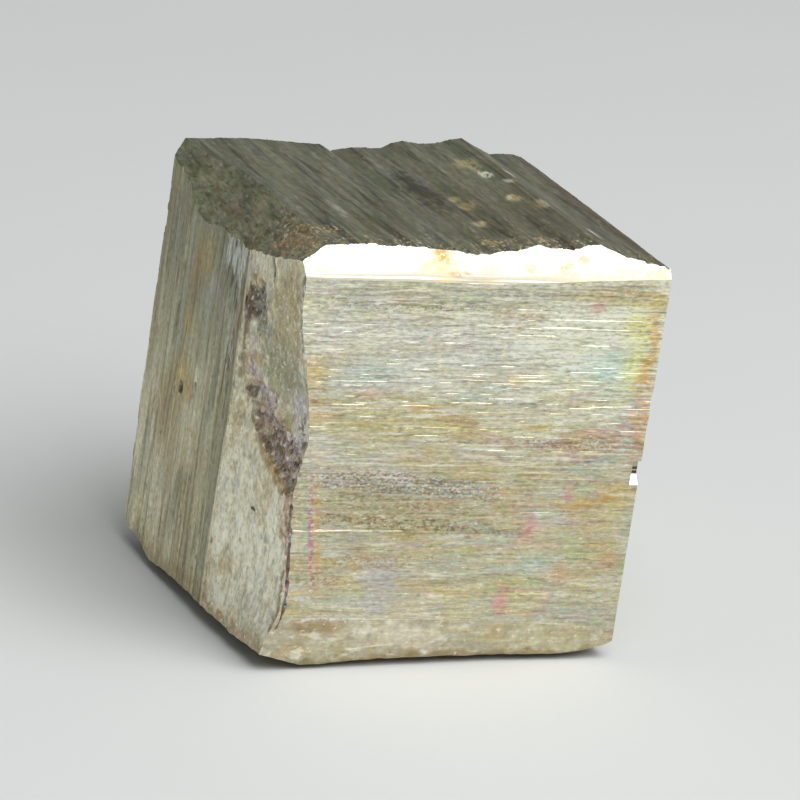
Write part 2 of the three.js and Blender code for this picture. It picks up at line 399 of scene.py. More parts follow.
def relief_shape(
    u: np.ndarray, v: np.ndarray, relief: Field, inner: float, side: Side, surface: Surface
) -> Shape:
    """A block whose outer side follows a relief over a grid.

    Args:
        u: Grid lines along the first direction.
        v: Grid lines along the second direction.
        relief: Height of the outer side at each point, counted outward.
        inner: Height of the block's flat inner side.
        side: Side of the crystal that the relief faces.
        surface: Kind of surface on the block.

    Returns:
        The closed block.
    """
    grid_u, grid_v = np.meshgrid(u, v, indexing="ij")
    outer = side.place(grid_u, grid_v, relief(grid_u, grid_v))
    corner_u, corner_v = np.array([u[0], u[-1], u[-1], u[0]]), np.array([v[0], v[0], v[-1], v[-1]])
    inside = side.place(corner_u, corner_v, np.full(4, inner))
    number = np.arange(len(u) * len(v)).reshape(len(u), len(v))
    quads = np.stack([number[:-1, :-1], number[1:, :-1], number[1:, 1:], number[:-1, 1:]], axis=-1)
    faces = [tuple(quad) for quad in quads.reshape(-1, 4).tolist()]
    first = len(u) * len(v)
    rims = [number[:, 0], number[-1, :], number[::-1, -1], number[0, ::-1]]
    for i, rim in enumerate(rims):
        faces.append((*rim.tolist(), first + (i + 1) % 4, first + i))
    faces.append((first, first + 1, first + 2, first + 3))
    return Shape(np.concatenate([outer, inside]), faces, surface)


def grid_lines(low: float, high: float, *parts: np.ndarray, keep: Pair | tuple[()] = ()) -> np.ndarray:
    """Grid lines in order, from one end to the other.

    Args:
        low: First line.
        high: Last line.
        parts: Lines that are left out where they come within a hair of another one.
        keep: Lines that always stay.

    Returns:
        The lines.
    """
    hair = 0.012
    fixed = np.array([low, *keep, high])
    kept: list[float] = []
    for line in np.sort(np.concatenate(parts)):
        clear_of_fixed = np.abs(fixed - line).min() > hair
        clear_of_last = not kept or line - kept[-1] > hair
        if low < line < high and clear_of_fixed and clear_of_last:
            kept.append(float(line))
    return np.sort(np.concatenate([fixed, kept]))


@dataclass(frozen=True)
class HollowSize:
    """A rough bowl in the left side.

    Attributes:
        at: Middle, as y and z.
        half: Half sizes along y and z.
        depth: Depth below the surface.
        turn: Turn about x, in degrees.
    """

    at: Pair
    half: Pair
    depth: float
    turn: float

    def bowl(self, y: np.ndarray, z: np.ndarray, ragged: np.ndarray) -> np.ndarray:
        """Depth of the bowl at each point, with a ragged rim.

        Args:
            y: Place to the back.
            z: Place upwards.
            ragged: What is added to the bowl's shape at each point.

        Returns:
            The depth at each point.
        """
        cos, sin = math.cos(math.radians(self.turn)), math.sin(math.radians(self.turn))
        off_y, off_z = y - self.at[0], z - self.at[1]
        p = (off_y * cos + off_z * sin) / self.half[0]
        q = (off_z * cos - off_y * sin) / self.half[1]
        return self.depth * np.sqrt(np.clip(1 - p * p - q * q + ragged, 0, 1))


@dataclass
class Crystal:
    """The pyrite crystal: one rough cube, leaning slightly on its broken base."""

    node: str = "pyrite_crystal"
    width: float = 24.0
    depth: float = 23.9
    top: float = 25.35
    base: float = -2.0
    lean: float = math.atan(0.05)
    margin: float = 3.0
    front_ridges: Outline = (
        (-0.4, 25.0), (0.9, 25.24), (4.2, 25.43), (8.1, 25.29), (10, 25.17), (10.8, 25.03), (12.1, 25.0),
        (13, 25.22), (14.6, 25.37), (15.4, 25.61), (16.4, 25.46), (18.1, 25.5), (18.7, 25.67),
        (19.5, 25.75), (20.4, 25.45), (21.3, 25.16), (22.4, 24.97), (23.7, 24.81), (24.3, 24.55),
    )
    back_ridges: Outline = (
        (-0.4, 25.12), (1, 25.15), (4.3, 25.26), (7.6, 25.13), (9.8, 25.04), (10.6, 24.64), (12, 24.88),
        (14.1, 24.96), (14.7, 25.3), (15.4, 25.46), (16.6, 25.3), (18.1, 25.49), (18.8, 25.7),
        (19.5, 25.8), (20.4, 25.36), (21.7, 24.75), (22.4, 24.83), (23.4, 24.84), (24.3, 24.6),
    )
    break_lower_edge: Outline = (
        (-0.5, 24.9), (1.8, 24.3), (4.4, 23.5), (8.3, 22.5), (9.8, 22.15), (14.6, 22.1), (16.6, 21.65),
        (18.6, 21.6), (19.8, 22.2), (20.5, 23.1), (22, 23.4), (24.4, 24),
    )
    break_upper_edge: Outline = (
        (-0.5, 1.3), (3.2, 1.7), (9, 1.9), (14, 2.1), (17.2, 2.1), (18.8, 1), (24.4, 0.7),
    )
    bevel_start: Outline = ((-0.5, 23.56), (12.5, 23.45), (17, 23.68), (20.5, 23.88), (24.5, 24.05))
    bevel_lean: float = 38.0
    foot_top: float = 1.9
    foot_drop: float = 0.3
    foot_lean: float = 13.0
    foot_clear: float = 0.35
    foot_fade: Outline = ((-0.5, 1), (16, 1), (20, 0.55), (23.5, 0.02), (24.5, 0.02))
    strip_into_front: Outline = (
        (-6, 0.4), (-1, 0.6), (1, 0.95), (2.2, 1.25), (4, 1.28), (6, 1.3), (9.5, 1.05), (11.2, 1.2),
        (13, 1.5), (14.8, 1.4), (16.6, 1.05), (18.3, 0.6), (20, 0.1), (22, -0.12), (23.5, -0.18),
        (24.6, -0.38), (30, -0.38),
    )
    strip_start: float = 9.0
    strip_edge: float = 9.2
    strip_step: float = 0.09
    groove_depth: float = 0.05
    clear: float = 0.5
    hair: float = 0.015
    across: Pair = (-6.0, 30.0)
    upright: Pair = (-6.0, 31.0)
    strip_reach: Pair = (-3.0, 27.0)
    nick_row: float = 0.6
    nick_spread: float = 0.8
    nick_depth: float = 0.16
    top_nicks: Grain = Grain((0.45, 0.5), 5)
    top_waves: Grain = Grain((0.5, 2.2), 6, 0.02)
    front_waves: Grain = Grain((0.9, 0.3), 12, 0.006)
    left_waves: Grain = Grain((1.3, 0.2), 13, 0.012)
    break_grain: Grain = Grain((0.4, 0.8), 21, 0.04)
    bevel_lines: Grain = Grain((6, 0.12), 31, 0.004)
    foot_grain: Grain = Grain((0.5, 0.35), 33, 0.035, 4)
    strip_pits: Grain = Grain((0.9, 0.5), 35, 0.07, 4)
    strip_grooves: Grain = Grain((5, 0.35), 36, 1.0, 2)
    base_crumbs: Grain = Grain((0.7, 0.7), 37)
    hollow_rim: Grain = Grain((0.6, 0.8), 39, 0.45, 4)
    hollow_lumps: Grain = Grain((0.35, 0.4), 44, 0.1)
    crack_width: Grain = Grain((0.5, 1), 41, 0.35)
    hollows: tuple[HollowSize, ...] = (
        HollowSize((7, 19.6), (1, 1.5), 0.3, 0),
        HollowSize((5.6, 13.4), (2.4, 1.15), 0.4, 45),
        HollowSize((2.6, 11.8), (2.9, 1.3), 0.45, 28),
        HollowSize((1, 10.8), (0.9, 1.5), 0.4, 25),
        HollowSize((17.4, 10.75), (0.32, 0.38), 0.17, 0),
        HollowSize((15.2, 11.8), (0.3, 0.5), 0.14, 10),
        HollowSize((5.2, 22.2), (1.1, 0.2), 0.12, 63),
    )
    crack_path: Outline = (
        (0.9, 1.2), (1.5, 1.38), (2.6, 1.55), (3.6, 1.55),
        (5.65, 1.37), (7.6, 1.2), (8.4, 1.12), (9.4, 1.0),
    )
    crack_half: float = 0.17
    crack_depth: float = 0.3
    crack_pitch: float = 0.19
    crack_tip: float = 0.02
    notch_from: float = 23.38
    notch_top: float = 12.3
    notch_ledge: float = 11.3
    notch_depth: float = 0.45
    front_chips: Outline = (
        (-1, 1.25), (0.4, 1.15), (1.3, 0.85), (2.3, 0.37), (3, 0.35), (4.4, 0.35), (6.4, 0.5), (9, 0.57),
        (12, 0.57), (15, 0.5), (16.5, 0.47), (18, 0.47), (20, 0.42), (21, 0.53), (22.4, 0.68), (23.4, 0.9),
        (24, 1.2), (25, 1.3),
    )
    left_chips: Outline = (
        (-1, 1.3), (1.2, 1.33), (4, 1.09), (9, 1.11), (13, 1.05), (16.5, 0.85), (18.6, 0.65), (19.6, 0.7),
        (20.3, 1.2), (22.6, 1.3), (23.6, 1.65), (25, 1.95),
    )
    right_chips: Outline = (
        (-1, 0.95), (3, 0.65), (7, 0.35), (9, 0.45), (14, 0.85), (19, 0.7), (22, 0.4), (25, 0.75),
    )
    back_chips: Outline = (
        (-1, 1.85), (2, 1.15), (5, 0.65), (9, 0.35), (13, 0.7), (17, 0.95), (21, 0.45), (25, 0.85),
    )
    chip_reach: float = 4.2
    chip_curve: float = 0.9
    crumb_height: float = 0.05
    bright_ledges: Outline = (
        (-2, 0.04), (5, 0.08), (10, 0.15), (13, 0.34), (16, 0.46), (21, 0.4), (22.3, 0.2), (23.4, 0.06),
    )
    offset: Vector = field(default_factory=Vector)

    @property
    def stand(self) -> Matrix:
        """How the grown crystal leans over and is set down."""
        lift = Matrix.Translation((0, 0, -self.base * math.cos(self.lean)))
        return lift @ Matrix.Rotation(self.lean, 4, "Y")

    @property
    def to_growth(self) -> Matrix:
        """From the row's frame, in metres, to the growth axes, in millimetres."""
        whole = Matrix.Scale(MM, 4) @ Matrix.Translation(self.offset) @ self.stand
        return whole.inverted()

    def strip_inset(self, y: np.ndarray, z: np.ndarray) -> np.ndarray:
        """How far the edge strip cuts into the left side."""
        return (1 - y / self.strip_start) * along(self.strip_into_front, z)

    def bowls(self, y: np.ndarray, z: np.ndarray) -> np.ndarray:
        """Depth of the hollows of the left side, with lumps of oxide in them.

        Args:
            y: Place to the back.
            z: Place upwards.

        Returns:
            The depth at each point.
        """
        ragged = self.hollow_rim.at(y, z)
        depth = np.max([hollow.bowl(y, z, ragged) for hollow in self.hollows], axis=0)
        return depth + self.hollow_lumps.at(y, z) * smooth(0, 0.15, depth)

    def top_face(self) -> Shape:
        """The top face, with ridges from front to back and a crumbled front edge.

        Returns:
            The block that ends at this face.
        """
        steps = GrowthSteps(self.width, pitch=0.95, depth=0.09, riser=0.1, seed=11)
        lines = FineLedges(self.width, gap=0.2, rise=(0.03, 0.09), lean=(12, 28), run=3.0, seed=71)

        def relief(x: np.ndarray, y: np.ndarray) -> np.ndarray:
            """Height of the top face.

            Args:
                x: Place to the right.
                y: Place to the back.

            Returns:
                The height at each point.
            """
            back = y / self.depth
            ridges = along(self.front_ridges, x) * (1 - back) + along(self.back_ridges, x) * back
            near_edge = np.exp(-np.abs(y - self.nick_row) / self.nick_spread)
            nicks = np.clip(self.top_nicks.at(x, y), 0, None) ** 1.5 * near_edge
            inset = self.nick_depth * nicks
            return ridges - steps.inset(x, y) - lines.inset(x, y) - inset + self.top_waves.at(x, y)

        ridge_lines = [places_of(self.front_ridges), places_of(self.back_ridges)]
        evenly = np.arange(-0.5, 24.6, 0.3)
        x_lines = grid_lines(*self.across, *ridge_lines, steps.lines(), lines.lines(), evenly)
        y_lines = grid_lines(*self.across, np.arange(0, 1.6, 0.1), np.arange(1.6, 24.4, 0.8))
        return relief_shape(x_lines, y_lines, relief, self.base - self.margin, Side.UP, Surface.TOP)

    def front_face(self) -> Shape:
        """The front face, with level steps and many fine bright ledges.

        Returns:
            The block that ends at this face.
        """
        steps = GrowthSteps(self.top, pitch=0.78, depth=0.085, riser=0.28, seed=23)
        ledges = FineLedges(
            self.top, gap=0.12, rise=(0.013, 0.02), lean=(8, 33), run=1.1, seed=29, cover=self.bright_ledges
        )

        def relief(x: np.ndarray, z: np.ndarray) -> np.ndarray:
            """Height of the front face."""
            return -steps.inset(z, x) - ledges.inset(z, x) - self.front_waves.at(x, z)

        x_lines = grid_lines(*self.across, np.arange(-0.2, 24.3, 0.35))
        z_lines = grid_lines(*self.upright, steps.lines(), ledges.lines(), np.arange(-1.6, 24.2, 1.0))
        return relief_shape(x_lines, z_lines, relief, -self.depth - self.margin, Side.FRONT, Surface.FRONT)

    def left_face(self) -> Shape:
        """The left face behind the strip, with upright steps and lines whose risers face the front.

        Returns:
            The block that ends at this face.
        """
        steps = GrowthSteps(self.depth, pitch=0.8, depth=0.13, riser=0.1, seed=37)
        lines = FineLedges(self.depth, gap=0.14, rise=(0.02, 0.07), lean=(14, 34), run=2.2, seed=43)
        edge = self.strip_edge

        def relief(z: np.ndarray, y: np.ndarray) -> np.ndarray:
            """Height of the left face. It stands clear of the strip.

            Args:
                z: Place upwards.
                y: Place to the back.

            Returns:
                The height at each point.
            """
            treads = steps.inset(y, z) * smooth(edge, edge + 1, y)
            uneven = self.left_waves.at(z, y)
            inset = treads + lines.inset(self.depth - y, z) + uneven + self.bowls(y, z)
            return np.where(y < edge, self.clear, -inset)

        rows = (steps.lines(), self.depth - lines.lines())
        y_lines = grid_lines(*self.across, *rows, keep=(edge - self.hair, edge))
        y_lines = y_lines[(y_lines < 0) | (y_lines > edge - 2 * self.hair)]
        z_lines = grid_lines(*self.upright, np.arange(-1.6, 25.6, 0.7), np.arange(10.6, 12.5, 0.14))
        return relief_shape(z_lines, y_lines, relief, -self.width - self.margin, Side.LEFT, Surface.LEFT)

    def right_face(self) -> Shape:
        """The right face, with upright steps.

        Returns:
            The block that ends at this face.
        """
        steps = GrowthSteps(self.depth, pitch=1.05, depth=0.15, riser=0.12, seed=41)
        lines = FineLedges(
            self.depth, gap=0.3, rise=(0.04, 0.12), lean=(16, 40), run=2.4, seed=47, cover=((0, 0.5),)
        )

        def relief(y: np.ndarray, z: np.ndarray) -> np.ndarray:
            """Height of the right face."""
            return self.width - steps.inset(y, z) - lines.inset(y, z)

        y_lines = grid_lines(*self.across, steps.lines(), lines.lines())
        z_lines = grid_lines(*self.upright, np.arange(-1.6, 25.6, 0.8))
        return relief_shape(y_lines, z_lines, relief, -self.margin, Side.RIGHT, Surface.RIGHT)

    def back_face(self) -> Shape:
        """The back face, with level steps.

        Returns:
            The block that ends at this face.
        """
        steps = GrowthSteps(self.top, pitch=1.05, depth=0.14, riser=0.12, seed=59)
        cover = ((0, 0.4), (26, 0.5))
        lines = FineLedges(
            self.top, gap=0.3, rise=(0.04, 0.12), lean=(16, 44), run=2.0, seed=53, cover=cover
        )

        def relief(z: np.ndarray, x: np.ndarray) -> np.ndarray:
            """Height of the back face."""
            return self.depth - steps.inset(z, x) - lines.inset(z, x)

        x_lines = grid_lines(*self.across, np.arange(0, 24.2, 0.8))
        z_lines = grid_lines(*self.upright, steps.lines(), lines.lines())
        return relief_shape(z_lines, x_lines, relief, -self.margin, Side.BACK, Surface.BACK)

    def broken_strip(self) -> Shape:
        """The granular broken strip between the top and the left face.

        Returns:
            The block that ends at this strip.
        """

        def relief(x: np.ndarray, y: np.ndarray) -> np.ndarray:
            """Height of the broken strip, whose slope changes gradually.

            Args:
                x: Place to the right.
                y: Place to the back.

            Returns:
                The height at each point.
            """
            lower = along(self.break_lower_edge, y)
            reaches = [along(self.break_upper_edge, y + shift) for shift in (-1.2, -0.6, 0, 0.6, 1.2)]
            rise = (self.top - lower) / np.mean(reaches, axis=0)
            broken = 0.05 * rough(3 * x, y) + self.break_grain.at(x, y)
            return lower + rise * x + broken

        x_lines = grid_lines(*self.strip_reach, np.arange(-0.4, 3.2, 0.1))
        y_lines = grid_lines(*self.across, np.arange(-0.3, 24.2, 0.125))
        return relief_shape(x_lines, y_lines, relief, self.base - self.margin, Side.UP, Surface.BREAK)

    def top_bevel(self) -> Shape:
        """The smooth bright bevel along the top of the front face.

        Returns:
            The block that ends at this bevel.
        """

        def relief(x: np.ndarray, z: np.ndarray) -> np.ndarray:
            """Plane of the bevel with a few faint level lines.

            Args:
                x: Place to the right.
                z: Place upwards.

            Returns:
                The height at each point.
            """
            start = along(self.bevel_start, x)
            lines = self.bevel_lines.at(x, z) * smooth(1.1, 0.2, z - start)
            return (start - z) * math.tan(math.radians(self.bevel_lean)) + lines

        x_lines = grid_lines(*self.across, places_of(self.bevel_start), np.arange(0, 24.2, 0.6))
        z_lines = grid_lines(*self.upright, np.arange(23.2, 26, 0.06))
        return relief_shape(x_lines, z_lines, relief, -self.depth - self.margin, Side.FRONT, Surface.BEVEL)

    def foot_bevel(self) -> Shape:
        """The granular bevel at the foot of the front face, which flattens out towards the right.

        Returns:
            The block that ends at this bevel.
        """

        def relief(x: np.ndarray, z: np.ndarray) -> np.ndarray:
            """Plane of the bevel with its grains. It stands clear of the face above its top.

            Args:
                x: Place to the right.
                z: Place upwards.

            Returns:
                The height at each point.
            """
            lean = math.tan(math.radians(self.foot_lean)) * along(self.foot_fade, x)
            top = self.foot_top - self.foot_drop * smooth(8, 24, x)
            slope = np.where(z < top, lean, self.foot_clear)
            grains = self.foot_grain.at(x, z) * smooth(0.1, 0.6, top - z)
            return (z - top) * slope + grains

        x_lines = grid_lines(*self.across, places_of(self.foot_fade), np.arange(-0.2, 24.3, 0.16))
        z_lines = grid_lines(*self.upright, np.arange(-1.9, self.foot_top + 0.01, 0.13))
        return relief_shape(x_lines, z_lines, relief, -self.depth - self.margin, Side.FRONT, Surface.FOOT)

    def edge_strip(self) -> Shape:
        """The pitted strip between the left and the front face.

        Returns:
            The block that ends at this strip.
        """
        edge = self.strip_edge

        def relief(z: np.ndarray, y: np.ndarray) -> np.ndarray:
            """Height of the strip, with upright grooves and pits. It stands clear of the left face.

            Args:
                z: Place upwards.
                y: Place to the back.

            Returns:
                The height at each point.
            """
            pits = self.strip_pits.at(z, y)
            grooves = self.groove_depth * np.clip(self.strip_grooves.at(z, y), 0, None) * smooth(10, 20, z)
            step = self.strip_step * y / edge * smooth(16, 13, z)
            inset = self.strip_inset(y, z) + pits + grooves + step + self.bowls(y, z)
            return np.where(y > edge, self.clear, -inset)

        y_lines = grid_lines(*self.strip_reach, np.arange(-0.2, edge, 0.13), keep=(edge, edge + self.hair))
        z_lines = grid_lines(*self.across, places_of(self.strip_into_front), np.arange(-1.7, 25, 0.2))
        return relief_shape(z_lines, y_lines, relief, -self.width - self.margin, Side.LEFT, Surface.STRIP)

    def chipped_base(self) -> Shape:
        """The base, flat on the ground with a chipped rim. It stays level while the rest leans.

        Returns:
            The block that begins at the base.
        """

        def chip(gap: np.ndarray, inward: np.ndarray) -> np.ndarray:
            """Height of a chip that fades out inward."""
            return gap * np.clip(1 - np.clip(inward, 0, None) / self.chip_reach, 0, None) ** self.chip_curve

        def relief(y: np.ndarray, x: np.ndarray) -> np.ndarray:
            """Height of the underside, counted down.

            Args:
                y: Place to the back.
                x: Place to the right.

            Returns:
                The height at each point.
            """
            chips = [
                chip(along(self.front_chips, x), y),
                chip(along(self.left_chips, y), x),
                chip(along(self.right_chips, y), self.width - x),
                chip(along(self.back_chips, x), self.depth - y),
            ]
            gap = np.max(chips, axis=0)
            crumbs = self.crumb_height * (1 + self.base_crumbs.at(x, y)) * smooth(0, 0.3, gap)
            return -gap - crumbs

        rim = np.array([0, 0.3, 0.6, 1, 1.4, 2, 3, self.chip_reach])
        evenly = np.arange(-0.2, 24.2, 0.4)
        y_lines = grid_lines(*self.across, rim, self.depth - rim, evenly)
        x_lines = grid_lines(*self.across, rim, self.width - rim, evenly)
        return relief_shape(y_lines, x_lines, relief, -self.top - 2 * self.margin, Side.DOWN, Surface.BASE)

    def notch(self) -> Shape:
        """The notch in the right edge of the front face, with a ledge parallel to the bright bevel.

        Returns:
            The block that is cut away.
        """
        drop = self.notch_depth / math.tan(math.radians(self.bevel_lean))
        outline = [
            (-1, self.notch_top),
            (-1, self.notch_ledge - drop * (1 + 1 / self.notch_depth)),
            (self.notch_depth, self.notch_ledge),
            (self.notch_depth, self.notch_top),
        ]
        points = np.array([(x, y, z) for x in (self.notch_from, self.width + 1) for y, z in outline])
        sides = [(i, (i + 1) % 4, (i + 1) % 4 + 4, i + 4) for i in range(4)]
        return Shape(points, [(3, 2, 1, 0), (4, 5, 6, 7), *sides], Surface.NOTCH)

    def crack(self) -> Shape:
        """The crack between the strip and the front face, a thin wedge cut in from the front.

        Returns:
            The block that is cut away.
        """
        heights = np.arange(self.crack_path[0][0], self.crack_path[-1][0], self.crack_pitch)
        half = self.crack_half * (0.75 + self.crack_width.at(heights, heights * 0))
        half[[0, -1]] = self.crack_tip
        points = []
        for x, z, reach in zip(along(self.crack_path, heights), heights, half):
            deep = self.crack_depth * reach / self.crack_half
            points += [(x - reach, 0, z), (x, -deep, z), (x + reach, 0, z), (x, deep, z)]
        faces: list[tuple[int, ...]] = [(0, 1, 2, 3)]
        turns = [(i, (i + 1) % 4) for i in range(4)]
        for first in range(0, 4 * (len(heights) - 1), 4):
            faces += [(first + i, first + j, first + 4 + j, first + 4 + i) for i, j in turns]
        last = 4 * (len(heights) - 1)
        faces.append((last + 3, last + 2, last + 1, last))
        return Shape(np.array(points), faces, Surface.CRACK)

    def build(self, materials: list[bpy.types.Material]) -> bpy.types.Object:
        """Build the whole crystal and set it on its node's place.

        Args:
            materials: The crystal's materials, in the order of the surfaces.

        Returns:
            The crystal, in metres.
        """
        leaning = [
            self.top_face(), self.front_face(), self.left_face(), self.right_face(), self.back_face(),
            self.top_bevel(), self.foot_bevel(), self.broken_strip(), self.edge_strip(),
        ]
        body = self.chipped_base().thing("striated_crystal", materials)
        helpers = []
        for operation, shapes in (("INTERSECT", leaning), ("DIFFERENCE", [self.notch(), self.crack()])):
            for shape in shapes:
                helper = shape.placed(self.stand).thing(f"helper_{shape.surface.value}", materials)
                joint = body.modifiers.new(helper.name, "BOOLEAN")
                joint.operation = operation
                joint.solver = "MANIFOLD"
                joint.object = helper
                helpers.append(helper)
        whole = bpy.data.meshes.new_from_object(body.evaluated_get(bpy.context.evaluated_depsgraph_get()))
        body.modifiers.clear()
        body.data = whole
        for helper in helpers:
            bpy.data.meshes.remove(helper.data)
        self._drop_crumbs(whole)
        self._set_down(whole)
        self._shade(whole)
        self._unwrap(whole)
        return body

    def dress(self, materials: list[bpy.types.Material]) -> None:
        """Give each kind of surface its finish.

        Args:
            materials: One material for each kind of surface, in their order.
        """
        for finish, material in zip(FINISHES, materials, strict=True):
            finish.dress(Graph(material, self.to_growth))
            LOG.info("%s dressed", material.name)

    @staticmethod
    def _drop_crumbs(mesh: bpy.types.Mesh) -> None:
        """Delete crumbs that the cuts leave free of the crystal, which holds the lowest point.

        Args:
            mesh: The crystal's mesh.
        """
        body = bmesh.new()
        body.from_mesh(mesh)
        lowest = min(body.verts, key=lambda vert: vert.co.z)
        reached, waiting = {lowest}, [lowest]
        while waiting:
            vert = waiting.pop()
            beside = {edge.other_vert(vert) for edge in vert.link_edges} - reached
            reached |= beside
            waiting += beside
        crumbs = [vert for vert in body.verts if vert not in reached]
        bmesh.ops.delete(body, geom=crumbs, context="VERTS")
        body.to_mesh(mesh)
        body.free()

    def _set_down(self, mesh: bpy.types.Mesh) -> None:
        """Bring the mesh to metres, over the middle of its node's base.

        Args:
            mesh: The crystal's mesh, in millimetres and already leaned over.
        """
        points = read(mesh.vertices, "co", 3)
        low, high = points.min(axis=0), points.max(axis=0)
        node_low, node_high = (np.array(corner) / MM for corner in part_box(self.node))
        middle = (node_low + node_high - low - high) / 2
        self.offset = Vector((middle[0], middle[1], node_low[2] - low[2]))
        mesh.transform(Matrix.Scale(MM, 4) @ Matrix.Translation(self.offset))

    @staticmethod
    def _shade(mesh: bpy.types.Mesh) -> None:
        """Shade smoothly except over sharp edges.

        Args:
            mesh: The crystal's mesh.
        """
        sharp_from = 20.0
        mesh.shade_smooth()
        mesh.set_sharp_from_angle(angle=math.radians(sharp_from))

    def _unwrap(self, mesh: bpy.types.Mesh) -> None:
        """Lay each side of the crystal flat in a part of the texture square.

        Args:
            mesh: The crystal's mesh, in metres.
        """
        # For each side: its two growth axes, and the left, low corner and side of its square.
        cells = {
            Surface.FRONT: (0, 2, 0.0, 0.0, 0.5), Surface.TOP: (0, 1, 0.0, 0.5, 0.5),
            Surface.LEFT: (1, 2, 0.5, 0.0, 0.5), Surface.RIGHT: (1, 2, 0.5, 0.5, 0.25),
            Surface.BACK: (0, 2, 0.75, 0.5, 0.25), Surface.BASE: (0, 1, 0.5, 0.75, 0.25),
        }
        kin = {
            Surface.BEVEL: Surface.FRONT, Surface.FOOT: Surface.FRONT, Surface.CRACK: Surface.FRONT,
            Surface.NOTCH: Surface.FRONT, Surface.STRIP: Surface.LEFT, Surface.BREAK: Surface.TOP,
        }
        corners = read(mesh.loops, "vertex_index", kind=int)
        back = np.array(self.to_growth)
        grown = read(mesh.vertices, "co", 3) @ back[:3, :3].T + back[:3, 3]
        slots = read(mesh.polygons, "material_index", kind=int)
        slot_of_corner = np.repeat(slots, read(mesh.polygons, "loop_total", kind=int))
        border, room = 1.2, 28.6
        flat = np.zeros((len(mesh.loops), 2))
        for surface in Surface:
            a, b, left, low, side = cells[kin.get(surface, surface)]
            here = slot_of_corner == surface.slot
            under = 0.0 if b == 1 else 1.0
            spread = grown[corners[here]][:, [a, b]] + np.array([border, border + under])
            flat[here] = np.array([left, low]) + spread / room * side
        mesh.uv_layers.new(name="OFBake").data.foreach_set("uv", flat.ravel())


def srgb(red: float, green: float, blue: float) -> Paint:
    """A colour that is seen as the given values from 0 to 255.

    Args:
        red: Red from 0 to 255.
        green: Green from 0 to 255.
        blue: Blue from 0 to 255.

    Returns:
        The linear colour.
    """
    seen = [value / 255 for value in (red, green, blue)]
    linear = [(c + 0.055) ** 2.4 / 1.055**2.4 if c > 0.04 else c / 12.92 for c in seen]
    return (linear[0], linear[1], linear[2], 1.0)


class Value:
    """A number that changes over a surface. Arithmetic on it adds Math nodes."""

    def __init__(self, graph: "Graph", socket: bpy.types.NodeSocket) -> None:
        """Wrap an output socket of a graph."""
        self.graph = graph
        self.socket = socket

    def _math(self, operation: str, *values: "Value | float") -> "Value":
        """The result of a Math node on some values.

        Args:
            operation: What the node does.
            *values: Its inputs in order.

        Returns:
            The result.
        """
        inputs = dict(enumerate(values))
        made = self.graph.node("ShaderNodeMath", {"operation": operation}, inputs)
        return Value(self.graph, made.outputs[0])

    def __add__(self, other: "Value | float") -> "Value":
        """Sum."""
        return self._math("ADD", self, other)

    __radd__ = __add__

    def __sub__(self, other: "Value | float") -> "Value":
        """Difference."""
        return self._math("SUBTRACT", self, other)

    def __rsub__(self, other: float) -> "Value":
        """Difference from a plain number."""
        return self._math("SUBTRACT", other, self)

    def __mul__(self, other: "Value | float") -> "Value":
        """Product."""
        return self._math("MULTIPLY", self, other)

    __rmul__ = __mul__

    def __truediv__(self, other: "Value | float") -> "Value":
        """Quotient."""
        return self._math("DIVIDE", self, other)

    def __pow__(self, other: float) -> "Value":
        """Power."""
        return self._math("POWER", self, other)

    def fraction(self) -> "Value":
        """What is left over above the next whole number below."""
        return self._math("FRACT", self)

    def step(self, low: float, high: float) -> "Value":
        """Soft step from 0 at low to 1 at high, or down where low is the larger.

        Args:
            low: Value at which the step is 0.
            high: Value at which the step is 1.

        Returns:
            The step.
        """
        ends = {"From Min": min(low, high), "From Max": max(low, high)}
        rise = {"To Min": float(low > high), "To Max": float(low < high)}
        settings = {"interpolation_type": "SMOOTHSTEP"}
        made = self.graph.node("ShaderNodeMapRange", settings, {"Value": self, **ends, **rise})
        return Value(self.graph, made.outputs[0])


class Colour:
    """A colour that changes over a surface."""

    def __init__(self, graph: "Graph", socket: bpy.types.NodeSocket) -> None:
        """Wrap an output socket of a graph."""
        self.graph = graph
        self.socket = socket

    def towards(self, other: "Colour | Paint", share: Value | float, mode: str = "MIX") -> "Colour":
        """Mix with another colour.

        Args:
            other: The other colour.
            share: How much of it shows, from 0 to 1.
            mode: Blend mode of the Mix node.

        Returns:
            The mixed colour.
        """
        settings = {"data_type": "RGBA", "blend_type": mode, "clamp_factor": True}
        made = self.graph.node("ShaderNodeMix", settings, {0: share, 6: self, 7: other})
        return Colour(self.graph, made.outputs[2])

    def parts(self) -> tuple[Value, ...]:
        """The colour's red, green and blue as values."""
        made = self.graph.node("ShaderNodeSeparateColor", {}, {0: self})
        return tuple(Value(self.graph, socket) for socket in made.outputs)

    def lit(self, brightness: Value) -> "Colour":
        """The colour made brighter or darker.

        Args:
            brightness: Factor on the colour.

        Returns:
            The changed colour.
        """
        inputs = {0: self, "Scale": brightness}
        made = self.graph.node("ShaderNodeVectorMath", {"operation": "SCALE"}, inputs)
        return Colour(self.graph, made.outputs[0])


@dataclass(frozen=True)
class Spot:
    """A stained place on a face.

    Attributes:
        at: Middle, along the face's two axes, in millimetres.
        half: Half sizes.
        colour: Colour of the stain.
        share: How strongly it shows.
        turn: Turn in the face's plane, in degrees.
        level: Value of a random grain above which it shows. At 0 it is whole, at 0.5 half is left.
        layer: Which of three random grains cuts it up.
        soft: Width of the soft edge, as a share of the size.
        ragged: How uneven its edge is.
        dull: Whether it is earthy, and doesn't shine as the mineral does.
    """

    at: Pair
    half: Pair
    colour: Paint
    share: float = 0.6
    turn: float = 0.0
    level: float = 0.0
    layer: int = 0
    soft: float = 0.6
    ragged: float = 0.7
    dull: bool = False


